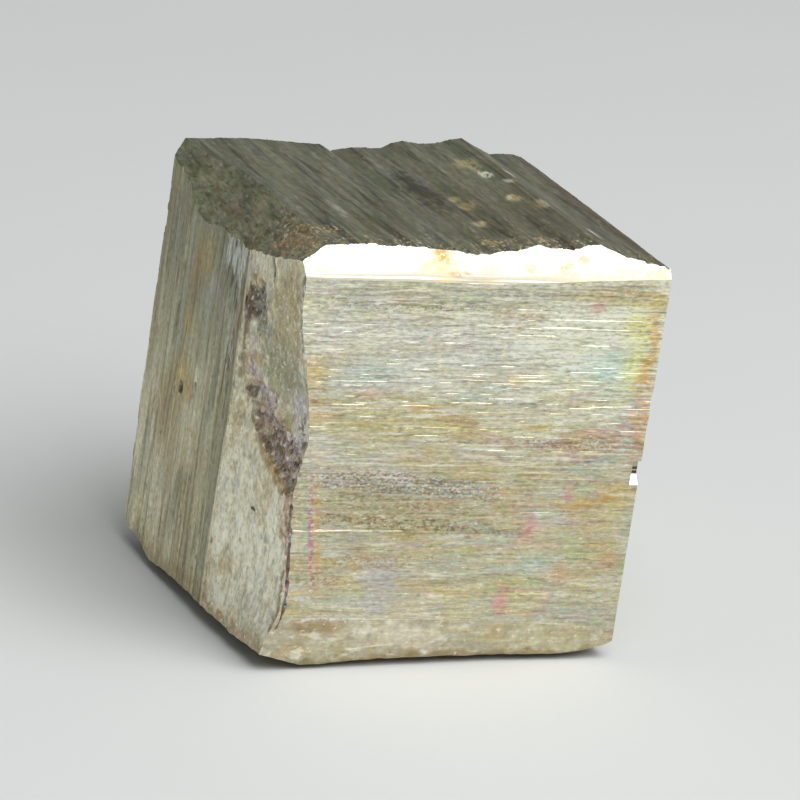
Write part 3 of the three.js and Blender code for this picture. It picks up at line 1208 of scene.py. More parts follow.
class Graph:
    """The node tree of one material."""

    def __init__(self, material: bpy.types.Material, to_growth: Matrix) -> None:
        """Empty the tree, and read the growth axes as the values x, y and z in millimetres.

        Args:
            material: The material, whose nodes are replaced.
            to_growth: Matrix from the object's own axes to the growth axes.
        """
        material.use_nodes = True
        self.tree = material.node_tree
        self.tree.nodes.clear()
        where = self.node("ShaderNodeTexCoord", {}, {})
        place, turn, scale = to_growth.decompose()
        placing = {"Location": place, "Rotation": turn.to_euler(), "Scale": scale}
        inputs = {"Vector": where.outputs["Object"], **placing}
        self.places = self.node("ShaderNodeMapping", {"vector_type": "POINT"}, inputs).outputs[0]
        parts = self.node("ShaderNodeSeparateXYZ", {}, {0: self.places})
        self.x, self.y, self.z = (Value(self, socket) for socket in parts.outputs)
        self.axes = {"x": self.x, "y": self.y, "z": self.z}

    def node(self, kind: str, settings: dict[str, Any], inputs: dict[int | str, Any]) -> bpy.types.Node:
        """Add a node.

        Args:
            kind: Type of the node.
            settings: Its properties. The stops of a ramp are (place, colour) pairs under "stops".
            inputs: A value, a wrapped value or a socket for each input, by name or number.

        Returns:
            The node.
        """
        made = self.tree.nodes.new(kind)
        for name, setting in settings.items():
            if name == "stops":
                elements = made.color_ramp.elements
                while len(elements) < len(setting):
                    elements.new(0.5)
                for element, (place, colour) in zip(elements, setting):
                    element.position, element.color = place, colour
            else:
                setattr(made, name, setting)
        for name, given in inputs.items():
            source = given.socket if isinstance(given, (Value, Colour)) else given
            if isinstance(source, bpy.types.NodeSocket):
                self.tree.links.new(source, made.inputs[name])
            else:
                made.inputs[name].default_value = source
        return made

    def _texture(self, bumps: Triple, detail: float, turn: float, warp: float) -> bpy.types.Node:
        """A noise texture with the given bumps in a millimetre along x, y and z.

        Args:
            bumps: Bumps in a millimetre along x, y and z.
            detail: How many finer layers are added.
            turn: Lets two textures of one size differ.
            warp: How much the bumps are bent.

        Returns:
            The texture's node.
        """
        stretched = self.node("ShaderNodeVectorMath", {"operation": "MULTIPLY"}, {0: self.places, 1: bumps})
        looks = {"W": turn, "Scale": 1.0, "Detail": detail, "Distortion": warp}
        inputs = {"Vector": stretched.outputs[0], **looks}
        return self.node("ShaderNodeTexNoise", {"noise_dimensions": "4D"}, inputs)

    def noise(self, bumps: Triple, detail: float = 2.0, turn: float = 0.0, warp: float = 0.0) -> Value:
        """Soft random value around 0.5.

        Args:
            bumps: Bumps in a millimetre along x, y and z.
            detail: How many finer layers are added.
            turn: Lets two textures of one size differ.
            warp: How much the bumps are bent.

        Returns:
            The value.
        """
        return Value(self, self._texture(bumps, detail, turn, warp).outputs[0])

    def hues(self, bumps: Triple, turn: float = 40.0) -> Colour:
        """Soft random colour around middle grey, with the given bumps in a millimetre."""
        return Colour(self, self._texture(bumps, 2.0, turn, 0.0).outputs[1])

    def plain(self, colour: Paint) -> Colour:
        """One colour all over, to begin a mix with.

        Args:
            colour: The linear colour.

        Returns:
            The colour, ready to be mixed.
        """
        made = self.node("ShaderNodeRGB", {}, {})
        made.outputs[0].default_value = colour
        return Colour(self, made.outputs[0])

    def ramp(self, value: Value, stops: tuple[tuple[float, Paint], ...]) -> Colour:
        """A colour that follows a value."""
        return Colour(self, self.node("ShaderNodeValToRGB", {"stops": stops}, {0: value}).outputs[0])

    def mask(self, a: Value, b: Value, spot: Spot, edge: Value, layers: tuple[Value, ...]) -> Value:
        """How strongly a spot shows.

        Args:
            a: Place along the face's first axis.
            b: Place along its second axis.
            spot: The spot.
            edge: Random value around 0.5 that makes its edge ragged.
            layers: Random values around 0.5 that cut it up into grains.

        Returns:
            A value from 0 to the spot's share.
        """
        cos, sin = math.cos(math.radians(spot.turn)), math.sin(math.radians(spot.turn))
        da, db = a - spot.at[0], b - spot.at[1]
        p = (da * cos + db * sin) / spot.half[0]
        q = (db * cos - da * sin) / spot.half[1]
        far = (p * p + q * q) ** 0.5 + (edge - 0.5) * (4 * spot.ragged)
        shown = far.step(1 + spot.soft, 1 - spot.soft) * spot.share
        if spot.level:
            shown *= layers[spot.layer].step(spot.level - 0.03, spot.level + 0.03)
        return shown

    def metal(self, colour: Colour, roughness: Value, height: Value, metallic: Value | float) -> None:
        """Finish the tree as a metallic surface.

        Args:
            colour: Base colour.
            roughness: Roughness.
            height: Height of the fine relief, in millimetres.
            metallic: Share of the surface that is bare mineral.
        """
        bump = self.node("ShaderNodeBump", {}, {"Strength": 1.0, "Distance": MM, "Height": height})
        inputs = {
            "Base Color": colour, "Roughness": roughness, "Metallic": metallic, "Normal": bump.outputs[0],
        }
        shader = self.node("ShaderNodeBsdfPrincipled", {}, inputs)
        self.node("ShaderNodeOutputMaterial", {}, {"Surface": shader.outputs[0]})


@dataclass(frozen=True)
class Patch:
    """A tint that shows wherever a soft random value is high.

    Attributes:
        colour: Colour of the tint.
        bumps: How many patches there are in a millimetre along x, y and z.
        level: Random value above which it shows. At 0.5 it covers about half of the face.
        share: How strongly it shows.
        soft: Width of its soft edge, as a difference of the random value.
        rise: Heights between which it comes in.
    """

    colour: Paint
    bumps: Triple
    level: float
    share: float
    soft: float = 0.08
    rise: Pair = (-10.0, -9.0)


@dataclass(frozen=True)
class Finish:
    """Finish of one kind of surface.

    Attributes:
        mineral: Colour of the clean mineral.
        foot: Colour that it turns to at the foot of the crystal, if it changes. It is painted light
        and shade: brighter or darker towards the foot, for the lit or shaded floor that the face
        mirrors there.
        fade: Heights at which the foot's colour begins and is full.
        patches: Tints in random places.
        spots: Stained places.
        streaks: Tints in random places, over the stains.
        plane: The two growth axes that the spots lie in.
        edging: Bumps of the stains' ragged edges in a millimetre.
        cuts: Grains that cut the stains up, in a millimetre.
        lines: How many fine lines there are in a millimetre along x, y and z.
        contrast: Contrast of the fine lines.
        calm: Share of the fine contrast that is left where the foot's colour is full.
        grains: How many grains there are in a millimetre along x, y and z.
        speckle: Contrast of the grains.
        tint: How much the hue varies from place to place.
        roughness: Least roughness, and how much the grains add.
        relief: Height of the fine lines and of the grains, in millimetres.
        metallic: Share of bare mineral.
    """

    mineral: Paint
    foot: Paint | None = None
    fade: Pair = (20.0, 0.0)
    patches: tuple[Patch, ...] = ()
    spots: tuple[Spot, ...] = ()
    streaks: tuple[Patch, ...] = ()
    plane: str = "xz"
    edging: Triple = (1.3, 1.3, 1.3)
    cuts: Triple = (3.0, 3.0, 3.0)
    lines: Triple = (0.4, 1.0, 4.0)
    contrast: float = 0.8
    calm: float = 1.0
    grains: Triple = (3.0, 3.0, 3.0)
    speckle: float = 0.9
    tint: float = 0.35
    roughness: Pair = (0.3, 0.12)
    relief: Pair = (0.02, 0.02)
    metallic: float = 1.0

    def filmed(self, graph: Graph, colour: Colour) -> Colour:
        """The colour under any thin film that lies on it."""
        return colour

    def stained(self, graph: Graph, colour: Colour) -> tuple[Colour, Value | float]:
        """The colour with its spots over it, and the share of bare mineral that they leave.

        Args:
            graph: The node tree.
            colour: The colour under the spots.

        Returns:
            The stained colour, and the share of bare mineral.
        """
        first, second = (graph.axes[axis] for axis in self.plane)
        edge = graph.noise(self.edging, detail=4, turn=0.5)
        layers = graph.hues(self.cuts, turn=41).parts()
        bare: Value | float = self.metallic
        for spot in self.spots:
            shown = graph.mask(first, second, spot, edge, layers)
            colour = colour.towards(spot.colour, shown)
            if spot.dull:
                bare = bare * (1 - shown)
        return colour, bare

    @staticmethod
    def tinted(graph: Graph, colour: Colour, patches: tuple[Patch, ...], turn: int) -> Colour:
        """A colour with random patches over it.

        Args:
            graph: The node tree.
            colour: The colour under the patches.
            patches: The patches, the uppermost last.
            turn: Lets two rows of patches differ.

        Returns:
            The tinted colour.
        """
        for number, patch in enumerate(patches, turn):
            random = graph.noise(patch.bumps, detail=4, turn=number, warp=0.3)
            shown = random.step(patch.level, patch.level + patch.soft)
            if patch.rise[0] > 0:
                shown *= graph.z.step(*patch.rise)
            colour = colour.towards(patch.colour, shown * patch.share)
        return colour

    def dress(self, graph: Graph) -> None:
        """Build the finish in an empty node tree.

        Args:
            graph: The node tree.
        """
        colour = graph.plain(self.mineral)
        # Painted light and shade: towards the foot the colour turns brighter or darker, standing in for the
        # floor that the face mirrors there.
        if self.foot:
            colour = colour.towards(self.foot, graph.z.step(*self.fade))
        colour = self.tinted(graph, colour, self.patches, 1)
        colour = self.filmed(graph, colour)
        colour, bare = self.stained(graph, colour)
        colour = self.tinted(graph, colour, self.streaks, 11)
        lines = graph.noise(self.lines, detail=4, turn=20, warp=0.4)
        grains = graph.noise(self.grains, detail=3, turn=21)
        strength = 1 - graph.z.step(*self.fade) * (1 - self.calm)
        lined = 1 + (lines - 0.5) * strength * self.contrast
        speckled = 1 + (grains - 0.5) * strength * self.speckle
        for bumps in (self.lines, self.grains):
            colour = colour.towards(graph.hues(bumps), self.tint, "OVERLAY")
        height = lines * self.relief[0] + grains * self.relief[1]
        rough_grains = self.roughness[0] + grains * self.roughness[1]
        graph.metal(colour.lit(lined * speckled), rough_grains, height, bare)


WHITE: Paint = (1.0, 1.0, 1.0, 1.0)
CREAM = srgb(244, 240, 222)
GOLD = srgb(214, 182, 112)
OCHRE = srgb(190, 154, 92)
UMBER = srgb(112, 88, 72)
SOOT = srgb(68, 60, 50)
PINK = srgb(232, 160, 166)
# Tints of a film that grows thicker, as (thickness, linear colour).
FILM: tuple[tuple[float, Paint], ...] = (
    (0.0, WHITE), (0.34, (1.0, 0.99, 0.9, 1.0)), (0.48, (1.0, 0.95, 0.68, 1.0)),
    (0.6, (1.0, 0.82, 0.6, 1.0)), (0.7, (1.0, 0.72, 0.74, 1.0)), (0.79, (0.8, 0.8, 1.0, 1.0)),
    (0.88, (0.78, 1.0, 0.88, 1.0)), (1.0, WHITE),
)


@dataclass(frozen=True)
class FrontFinish(Finish):
    """Level striations, bright, under a thin tarnish with rainbow contours and stained spots."""

    mineral: Paint = srgb(236, 234, 212)
    # Painted shade: the face turns darker towards the foot, standing in for the shaded floor beside the
    # crystal that it mirrors there.
    foot: Paint = srgb(214, 208, 182)
    fade: Pair = (23.0, 8.0)
    patches: tuple[Patch, ...] = (
        Patch(srgb(210, 192, 138), (0.12, 0.2, 0.6), 0.47, 0.55, 0.16),
        Patch(srgb(196, 200, 190), (0.15, 0.2, 0.45), 0.5, 0.5, 0.14),
        Patch(srgb(204, 180, 122), (0.4, 1.0, 2.0), 0.57, 0.45, 0.1),
        Patch(srgb(240, 238, 226), (0.3, 1.0, 1.6), 0.54, 0.5, 0.1),
    )
    spots: tuple[Spot, ...] = (
        Spot((12, 22.7), (13, 0.8), srgb(172, 170, 146), 0.5),
        Spot((8, 19.5), (8, 1.6), srgb(230, 232, 228), 0.45),
        Spot((6, 14.5), (7, 1.5), srgb(212, 196, 138), 0.5),
        # Painted highlight: a broad near-white patch at the upper right of the face.
        Spot((19.2, 19.8), (4.2, 2.8), srgb(250, 252, 226), 0.85, soft=0.8),
        Spot((20.9, 18.1), (1.7, 1.1), srgb(190, 230, 222), 0.5, soft=0.9),
        Spot((22.2, 21.2), (0.9, 1.0), srgb(246, 238, 136), 0.6, soft=0.9, ragged=0.9),
        Spot((22.5, 18.3), (0.8, 1.7), srgb(240, 238, 126), 0.55, -10, soft=0.9, ragged=0.9),
        Spot((23.5, 20.3), (0.28, 1.2), srgb(238, 182, 104), 0.65, 8, soft=0.8, ragged=1.0),
        Spot((23.2, 18.2), (0.32, 1.2), srgb(232, 176, 92), 0.65, -14, soft=0.9, ragged=1.0),
        Spot((23.6, 14.6), (0.6, 3.0), srgb(216, 164, 114), 0.5, level=0.42),
        Spot((22.6, 9.6), (0.8, 1.1), srgb(228, 208, 124), 0.45),
        Spot((22.9, 5.6), (0.5, 0.6), srgb(222, 156, 124), 0.4),
        Spot((17.0, 7.7), (0.9, 0.14), srgb(214, 122, 122), 0.45, 35),
        Spot((20.2, 6.6), (0.7, 0.7), srgb(188, 208, 152), 0.4),
        Spot((6.2, 21.9), (5.4, 0.26), srgb(110, 122, 146), 0.6, level=0.55, ragged=1.2),
        Spot((6.6, 21.8), (5.4, 0.3), srgb(214, 196, 104), 0.6, level=0.56, layer=2, ragged=1.2),
        Spot((20.8, 23.0), (3.0, 0.6), srgb(204, 178, 112), 0.55),
        Spot((23.2, 22.2), (0.7, 1.2), srgb(226, 204, 112), 0.5, soft=0.9),
        Spot((14.2, 21.4), (1.4, 0.5), srgb(200, 170, 112), 0.5, level=0.48, layer=1),
        Spot((19.3, 22.2), (0.5, 0.35), PINK, 0.5),
        Spot((1.1, 17.7), (0.9, 1.0), srgb(228, 196, 120), 0.65, soft=0.9),
        Spot((1.4, 15.2), (1.2, 0.6), srgb(224, 186, 120), 0.5, soft=0.9),
        Spot((5.2, 17.8), (1.8, 0.7), srgb(206, 224, 212), 0.45, soft=0.9),
        Spot((0.9, 16.0), (0.6, 0.22), srgb(220, 150, 142), 0.5),
        Spot((5.0, 16.4), (1.2, 0.3), srgb(228, 186, 152), 0.4),
        Spot((9.0, 15.6), (1.1, 0.2), srgb(206, 168, 104), 0.5, -4),
        Spot((9.9, 15.1), (2.2, 0.35), srgb(210, 166, 128), 0.5, -14),
        Spot((6.1, 22.4), (0.45, 0.3), OCHRE, 0.55),
        Spot((19.0, 13.3), (5.2, 0.4), srgb(176, 120, 96), 0.6, level=0.5, layer=1),
        Spot((21.6, 14.2), (2.0, 0.5), srgb(214, 160, 140), 0.5, level=0.45, layer=2),
        Spot((8, 9.4), (6.4, 1.7), srgb(186, 170, 118), 0.5, ragged=1.0),
        Spot((8.0, 10.6), (6.4, 0.6), srgb(124, 134, 164), 0.7, -4.5, 0.51, 0),
        Spot((8.0, 10.5), (6.4, 0.8), srgb(156, 120, 66), 0.65, -4.5, 0.55, 1),
        Spot((8.0, 10.4), (6.4, 0.8), srgb(240, 238, 232), 0.7, -4.5, 0.57, 2),
        Spot((7.5, 9.4), (5.4, 0.6), srgb(160, 132, 76), 0.6, -3, 0.54, 2),
        Spot((8.7, 8.0), (6.2, 0.5), srgb(150, 120, 66), 0.65, -3, 0.52, 1),
        Spot((3.6, 4.4), (1.6, 0.5), srgb(166, 136, 74), 0.6, -3, 0.54, 1),
        Spot((8.7, 8.1), (6.2, 0.4), srgb(112, 112, 140), 0.6, -3, 0.58, 0),
        Spot((7.6, 3.9), (1.1, 2.0), srgb(200, 198, 210), 0.45),
        Spot((6.4, 5.6), (4.6, 0.5), srgb(176, 146, 96), 0.5, level=0.52, layer=1),
        Spot((2.15, 7.9), (3.2, 0.2), srgb(158, 206, 172), 0.5, -81, 0.48, 0, ragged=0.6),
        Spot((2.55, 7.6), (3.9, 0.18), srgb(210, 110, 154), 0.65, -81, 0.48, 1, ragged=0.6),
        Spot((2.95, 7.7), (3.9, 0.18), srgb(226, 176, 84), 0.55, -81, 0.46, 2, ragged=0.6),
        Spot((19.4, 10.1), (0.4, 0.45), PINK, 0.5),
        Spot((20.3, 10.4), (0.9, 0.4), srgb(184, 214, 152), 0.5),
        Spot((21.4, 9.6), (2.0, 0.2), srgb(222, 176, 92), 0.6, 13),
        Spot((17.1, 7.6), (0.35, 0.8), PINK, 0.45),
        Spot((15.9, 3.1), (0.35, 0.9), PINK, 0.5),
        Spot((19.7, 4.8), (0.6, 0.7), srgb(222, 178, 142), 0.45),
    )
    streaks: tuple[Patch, ...] = (
        Patch(srgb(154, 146, 110), (2.6, 1.0, 6.0), 0.59, 0.45, 0.06),
        Patch(srgb(146, 144, 118), (0.4, 1.0, 4.5), 0.58, 0.45, 0.06),
        # Painted highlights: near-white and cream streaks stand in for glints of the fine ledges, the cream
        # ones only higher up.
        Patch(srgb(248, 246, 234), (2.4, 1.0, 7.0), 0.6, 0.6, 0.06),
        Patch(CREAM, (0.25, 1.0, 4.5), 0.545, 0.7, 0.06, (6.0, 14.0)),
    )
    edging: Triple = (1.0, 1.0, 5.0)
    cuts: Triple = (4.0, 4.0, 6.0)
    lines: Triple = (0.3, 1.0, 5.0)
    contrast: float = 1.4
    calm: float = 0.7
    grains: Triple = (2.2, 2.2, 7.0)
    speckle: float = 1.5
    tint: float = 0.24
    roughness: Pair = (0.26, 0.2)
    relief: Pair = (0.03, 0.012)
    film_orders: float = 5.0
    film_share: float = 0.25
    film_extra: float = 0.35

    def filmed(self, graph: Graph, colour: Colour) -> Colour:
        """Lay on the tarnish, whose colours follow lines of equal thickness, more so to the right.

        Args:
            graph: The node tree.
            colour: The colour under the tarnish.

        Returns:
            The tarnished colour.
        """
        broad = graph.noise((0.14, 1.0, 0.32), detail=3, turn=30) * self.film_orders
        fine = graph.noise((0.9, 1.0, 5.0), detail=3, turn=31) * 0.7
        thickness = broad + fine + graph.z * 0.08
        film = graph.ramp(thickness.fraction(), FILM)
        low_right = graph.x.step(9, 18) * graph.z.step(24, 15)
        return colour.towards(film, self.film_share + low_right * self.film_extra, "MULTIPLY")


@dataclass(frozen=True)
class BevelFinish(Finish):
    """The nearly mirror-bright bevel, with a few pale orange and pink stains and level lines below."""

    mineral: Paint = srgb(183, 182, 176)
    line_colour: Paint = srgb(120, 117, 96)
    patches: tuple[Patch, ...] = (
        Patch(srgb(176, 166, 132), (0.5, 1.0, 1.0), 0.54, 0.5, 0.12),
        Patch(srgb(196, 168, 156), (0.6, 1.0, 1.2), 0.62, 0.4, 0.1),
    )
    spots: tuple[Spot, ...] = (
        Spot((9.0, 24.4), (1.2, 0.9), srgb(170, 140, 92), 0.55),
        Spot((9.0, 24.9), (0.5, 0.35), srgb(150, 112, 50), 0.85, level=0.42),
        Spot((9.9, 23.9), (0.6, 0.16), srgb(132, 112, 86), 0.6, level=0.5, layer=1),
        Spot((17.0, 24.5), (1.3, 0.7), srgb(178, 158, 132), 0.5, soft=1.0),
        Spot((17.0, 24.5), (0.8, 0.4), srgb(152, 122, 88), 0.65, level=0.5),
        Spot((14.6, 24.4), (0.6, 0.3), srgb(152, 122, 88), 0.6, level=0.42, layer=1),
        Spot((18.4, 24.9), (0.5, 0.25), srgb(148, 116, 80), 0.6, level=0.44, layer=2),
        Spot((12.0, 24.2), (0.7, 0.5), srgb(162, 138, 106), 0.5, soft=1.0),
        Spot((21.6, 24.2), (3.0, 0.4), srgb(168, 163, 138), 0.75, soft=0.9),
        Spot((21.5, 24.2), (2.8, 0.3), srgb(160, 153, 124), 0.5, level=0.46),
        Spot((23.2, 24.35), (1.0, 0.3), srgb(160, 152, 122), 0.6, level=0.42),
        Spot((23.78, 24.68), (0.14, 0.06), SOOT, 0.9, -30, soft=0.3, ragged=0.3),
        Spot((0.2, 24.7), (0.15, 0.1), SOOT, 0.9, 40, soft=0.3, ragged=0.8),
    )
    edging: Triple = (1.6, 1.6, 3.0)
    lines: Triple = (0.3, 1.0, 6.0)
    contrast: float = 0.3
    speckle: float = 0.2
    tint: float = 0.1
    roughness: Pair = (0.3, 0.08)
    relief: Pair = (0.006, 0.004)

    def filmed(self, graph: Graph, colour: Colour) -> Colour:
        """Lay darker level lines along the lower edge, which rises a little to the right.

        Args:
            graph: The node tree.
            colour: The colour under the lines.

        Returns:
            The lined colour.
        """
        low = (graph.z - graph.x.step(12, 24) * 0.3).step(24.5, 23.5)
        lines = graph.noise((0.12, 1.0, 8.0), detail=3, turn=32)
        shown = (lines + low * 0.08).step(0.48, 0.54) * low
        return colour.towards(self.line_colour, shown * 0.9)


@dataclass(frozen=True)
class FootFinish(Finish):
    """The pale beige granular bevel at the foot of the front face."""

    mineral: Paint = srgb(195, 189, 167)
    patches: tuple[Patch, ...] = (
        Patch(srgb(184, 164, 120), (0.5, 0.5, 0.7), 0.48, 0.55, 0.12),
        Patch(srgb(240, 236, 220), (0.9, 0.9, 1.4), 0.52, 0.65, 0.1),
        Patch(srgb(176, 178, 158), (0.7, 0.7, 1.0), 0.56, 0.5, 0.1),
        Patch(srgb(158, 140, 100), (2.0, 2.0, 2.6), 0.6, 0.5, 0.06),
    )
    spots: tuple[Spot, ...] = (
        Spot((9.5, 0.9), (4.2, 0.8), srgb(240, 234, 214), 0.5, ragged=1.0),
        Spot((4.0, 1.2), (1.3, 0.5), srgb(172, 138, 88), 0.6, ragged=1.0),
        Spot((15.8, 0.9), (0.6, 0.5), srgb(206, 164, 118), 0.45),
        Spot((19.5, 0.7), (5.0, 1.4), srgb(206, 198, 162), 0.6),
        Spot((12, -0.9), (12, 0.35), srgb(150, 132, 90), 0.7, 3, ragged=0.9),
        Spot((7.5, -0.2), (1.3, 0.06), CREAM, 0.6, 8, ragged=0.3),
        # Painted highlight: a thin white line along the top edge of the bevel.
        Spot((6.0, 1.86), (7.5, 0.07), WHITE, 0.7, level=0.42, ragged=0.2),
    )
    streaks: tuple[Patch, ...] = (
        Patch(srgb(246, 242, 228), (2.6, 2.6, 3.4), 0.62, 0.6, 0.06),
    )
    grains: Triple = (2.8, 2.8, 3.4)
    speckle: float = 0.8
    tint: float = 0.14
    roughness: Pair = (0.36, 0.14)
    relief: Pair = (0.0, 0.035)
    metallic: float = 0.9


@dataclass(frozen=True)
class LeftFinish(Finish):
    """Upright striations under olive tarnish, greyer and darker beside the strip."""

    mineral: Paint = srgb(152, 151, 126)
    # Painted light: the face turns much lighter towards the foot, standing in for the bright floor that it
    # mirrors there.
    foot: Paint = srgb(228, 221, 190)
    fade: Pair = (21.0, 0.0)
    patches: tuple[Patch, ...] = (
        Patch(srgb(158, 146, 108), (1.0, 0.35, 0.08), 0.46, 0.5, 0.14),
        Patch(srgb(168, 172, 158), (1.0, 0.5, 0.12), 0.54, 0.45, 0.1),
        Patch(srgb(172, 150, 104), (1.0, 0.4, 0.25), 0.56, 0.4, 0.1),
    )
    spots: tuple[Spot, ...] = (
        Spot((10.4, 6.0), (1.1, 9.5), srgb(146, 146, 120), 0.6),
        Spot((16.0, 19.4), (1.7, 1.3), srgb(192, 164, 106), 0.45, ragged=0.9),
        Spot((17.8, 18.0), (0.9, 2.0), srgb(164, 136, 98), 0.45, ragged=0.9),
        Spot((14.2, 18.4), (1.1, 0.7), srgb(180, 178, 176), 0.5),
        Spot((12.7, 21.3), (0.7, 1.1), srgb(204, 204, 194), 0.6),
        Spot((17.5, 15.2), (1.0, 0.9), srgb(190, 164, 104), 0.5),
        Spot((11.4, 22.0), (2.2, 2.8), srgb(82, 84, 76), 0.7, level=0.5),
        Spot((11.0, 21.6), (2.0, 3.4), srgb(222, 224, 218), 0.7, level=0.53, layer=1),
        Spot((10.6, 16.5), (1.2, 3.6), srgb(206, 206, 196), 0.6, level=0.55, layer=2),
        Spot((10.4, 15.5), (1.2, 5.0), srgb(84, 84, 74), 0.6, level=0.56),
        Spot((9.6, 17.2), (0.5, 2.6), srgb(124, 96, 70), 0.6),
        Spot((17.4, 11.4), (1.7, 1.6), srgb(176, 150, 92), 0.5),
        Spot((17.4, 10.7), (0.34, 0.4), srgb(96, 96, 102), 0.8, soft=0.4, ragged=0.3),
        Spot((17.5, 11.6), (0.45, 0.35), srgb(222, 190, 116), 0.7),
        Spot((15.3, 12.1), (0.34, 0.7), srgb(226, 220, 194), 0.8, soft=0.4, ragged=0.3),
        Spot((16.1, 10.7), (0.4, 0.6), srgb(190, 146, 72), 0.5),
        Spot((19.4, 8.2), (1.6, 2.6), srgb(166, 142, 100), 0.5, ragged=0.9),
        Spot((9.35, 13), (0.16, 10), srgb(206, 202, 178), 0.7, level=0.42, ragged=0.3),
        Spot((9.35, 2), (0.14, 7), CREAM, 0.7, ragged=0.3),
        Spot((16, -1.0), (9, 0.9), srgb(164, 140, 96), 0.5, -4, ragged=1.0),
    )
    streaks: tuple[Patch, ...] = (
        Patch(srgb(116, 112, 88), (1.0, 1.6, 0.12), 0.55, 0.5, 0.06),
        Patch(srgb(206, 203, 180), (1.0, 2.0, 0.14), 0.58, 0.45, 0.06),
        Patch(srgb(128, 106, 72), (3.0, 2.0, 1.2), 0.62, 0.5, 0.06),
    )
    plane: str = "yz"
    edging: Triple = (1.0, 3.0, 0.8)
    cuts: Triple = (3.0, 2.6, 0.5)
    lines: Triple = (1.0, 2.0, 0.13)
    contrast: float = 0.8
    grains: Triple = (3.4, 3.4, 2.6)
    speckle: float = 1.2
    tint: float = 0.1
    roughness: Pair = (0.3, 0.14)
    relief: Pair = (0.035, 0.015)


@dataclass(frozen=True)
class StripFinish(Finish):
    """The pitted pale strip beside the front face, with brown oxide and a lilac crust in its hollows."""

    mineral: Paint = srgb(224, 217, 186)
    # Painted light: the strip turns nearly white towards the foot, standing in for the bright floor that it
    # mirrors there.
    foot: Paint = srgb(254, 250, 226)
    fade: Pair = (13.0, 6.0)
    patches: tuple[Patch, ...] = (
        Patch(srgb(192, 168, 108), (0.5, 0.5, 0.3), 0.49, 0.5, 0.12),
        Patch(srgb(210, 212, 203), (0.6, 0.6, 0.4), 0.52, 0.55, 0.1),
        Patch(srgb(176, 158, 116), (1.2, 1.2, 1.0), 0.56, 0.45, 0.1),
        Patch(srgb(250, 246, 222), (1.2, 1.2, 1.1), 0.5, 0.65, 0.1),
    )
    spots: tuple[Spot, ...] = (
        Spot((2.8, 20.2), (2.8, 3.4), srgb(172, 156, 108), 0.55),
        Spot((3.6, 16.6), (3.0, 2.0), srgb(150, 152, 124), 0.6),
        Spot((6.9, 22.3), (1.4, 0.9), srgb(236, 232, 210), 0.7, level=0.4),
        Spot((3.9, 23.3), (1.1, 0.6), srgb(226, 222, 196), 0.6),
        Spot((5.2, 22.2), (1.3, 0.2), srgb(112, 108, 82), 0.8, 63, ragged=0.3),
        Spot((7.6, 20.9), (0.9, 0.4), srgb(186, 158, 98), 0.6),
        Spot((8.4, 19.4), (0.8, 1.3), UMBER, 0.85),
        Spot((8.5, 17.2), (0.35, 2.6), UMBER, 0.75),
        Spot((6.9, 19.7), (0.8, 1.4), srgb(142, 142, 142), 0.8),
        Spot((5.9, 18.5), (0.7, 0.6), srgb(142, 142, 146), 0.7, level=0.46),
        Spot((6.6, 19.2), (0.9, 1.4), UMBER, 0.7, level=0.54, layer=1),
        Spot((6.6, 16.2), (0.9, 0.5), OCHRE, 0.5),
        Spot((5.6, 13.5), (2.9, 1.35), srgb(184, 162, 138), 0.95, 45, soft=0.3),
        Spot((2.7, 11.9), (3.1, 1.3), srgb(182, 158, 134), 0.95, 28, soft=0.3),
        Spot((0.9, 11.2), (0.9, 2.0), srgb(176, 152, 130), 0.95, 15, soft=0.3),
        Spot((1.0, 14.4), (1.0, 1.2), srgb(206, 202, 204), 0.8, level=0.44, layer=1),
        Spot((6.4, 14.9), (2.0, 0.9), srgb(214, 210, 220), 0.8, 55, 0.48, 0),
        Spot((3.0, 12.4), (3.4, 1.2), srgb(214, 210, 220), 0.75, 34, 0.52, 1),
        Spot((1.0, 12.8), (0.9, 2.4), srgb(222, 218, 226), 0.75, 0, 0.5, 2),
        Spot((3.4, 12.4), (4.2, 1.6), srgb(96, 80, 66), 0.7, 36, 0.58, 0),
        Spot((0.6, 13.6), (0.7, 1.4), UMBER, 0.7, 0, 0.54, 0),
        Spot((3.2, 12.5), (4.0, 1.6), srgb(216, 190, 132), 0.7, 36, 0.61, 2),
        Spot((2.6, 13.5), (0.9, 0.5), srgb(206, 184, 124), 0.7, 20),
        Spot((2.9, 10.2), (2.6, 0.4), OCHRE, 0.75, 24),
        Spot((0.6, 8.3), (0.7, 1.8), srgb(168, 122, 66), 0.75, 8),
        Spot((1.0, 7.0), (1.1, 3.0), CREAM, 0.6, 0, 0.5, 1),
        Spot((4.77, 7.18), (0.3, 0.13), SOOT, 0.95, soft=0.3, ragged=0.4),
        Spot((4.3, 7.2), (0.14, 0.1), WHITE, 0.9, soft=0.3, ragged=0.3),
        Spot((0.1, 4.4), (0.35, 4.2), srgb(136, 112, 88), 0.7, level=0.42, layer=2),
        Spot((0.1, 21.5), (0.35, 3.6), srgb(88, 86, 72), 0.7, level=0.5, ragged=0.3),
        Spot((0.0, 21.5), (0.5, 3.6), WHITE, 0.6, 0, 0.56, 1, ragged=0.3),
        Spot((4.5, -1.0), (6.5, 1.1), srgb(176, 148, 94), 0.65, ragged=1.0),
        Spot((6.9, 12.4), (0.12, 1.6), CREAM, 0.75, 8, ragged=0.3),
    )
    streaks: tuple[Patch, ...] = (
        Patch(srgb(148, 132, 94), (3.6, 3.6, 3.0), 0.58, 0.35, 0.1),
        Patch(srgb(252, 250, 236), (3.6, 3.6, 3.4), 0.56, 0.6, 0.1),
    )
    plane: str = "yz"
    cuts: Triple = (2.6, 2.6, 2.2)
    lines: Triple = (1.0, 1.8, 0.6)
    contrast: float = 0.85
    grains: Triple = (4.4, 4.4, 2.6)
    speckle: float = 1.4
    tint: float = 0.14
    roughness: Pair = (0.36, 0.14)
    relief: Pair = (0.03, 0.018)
    metallic: float = 0.9


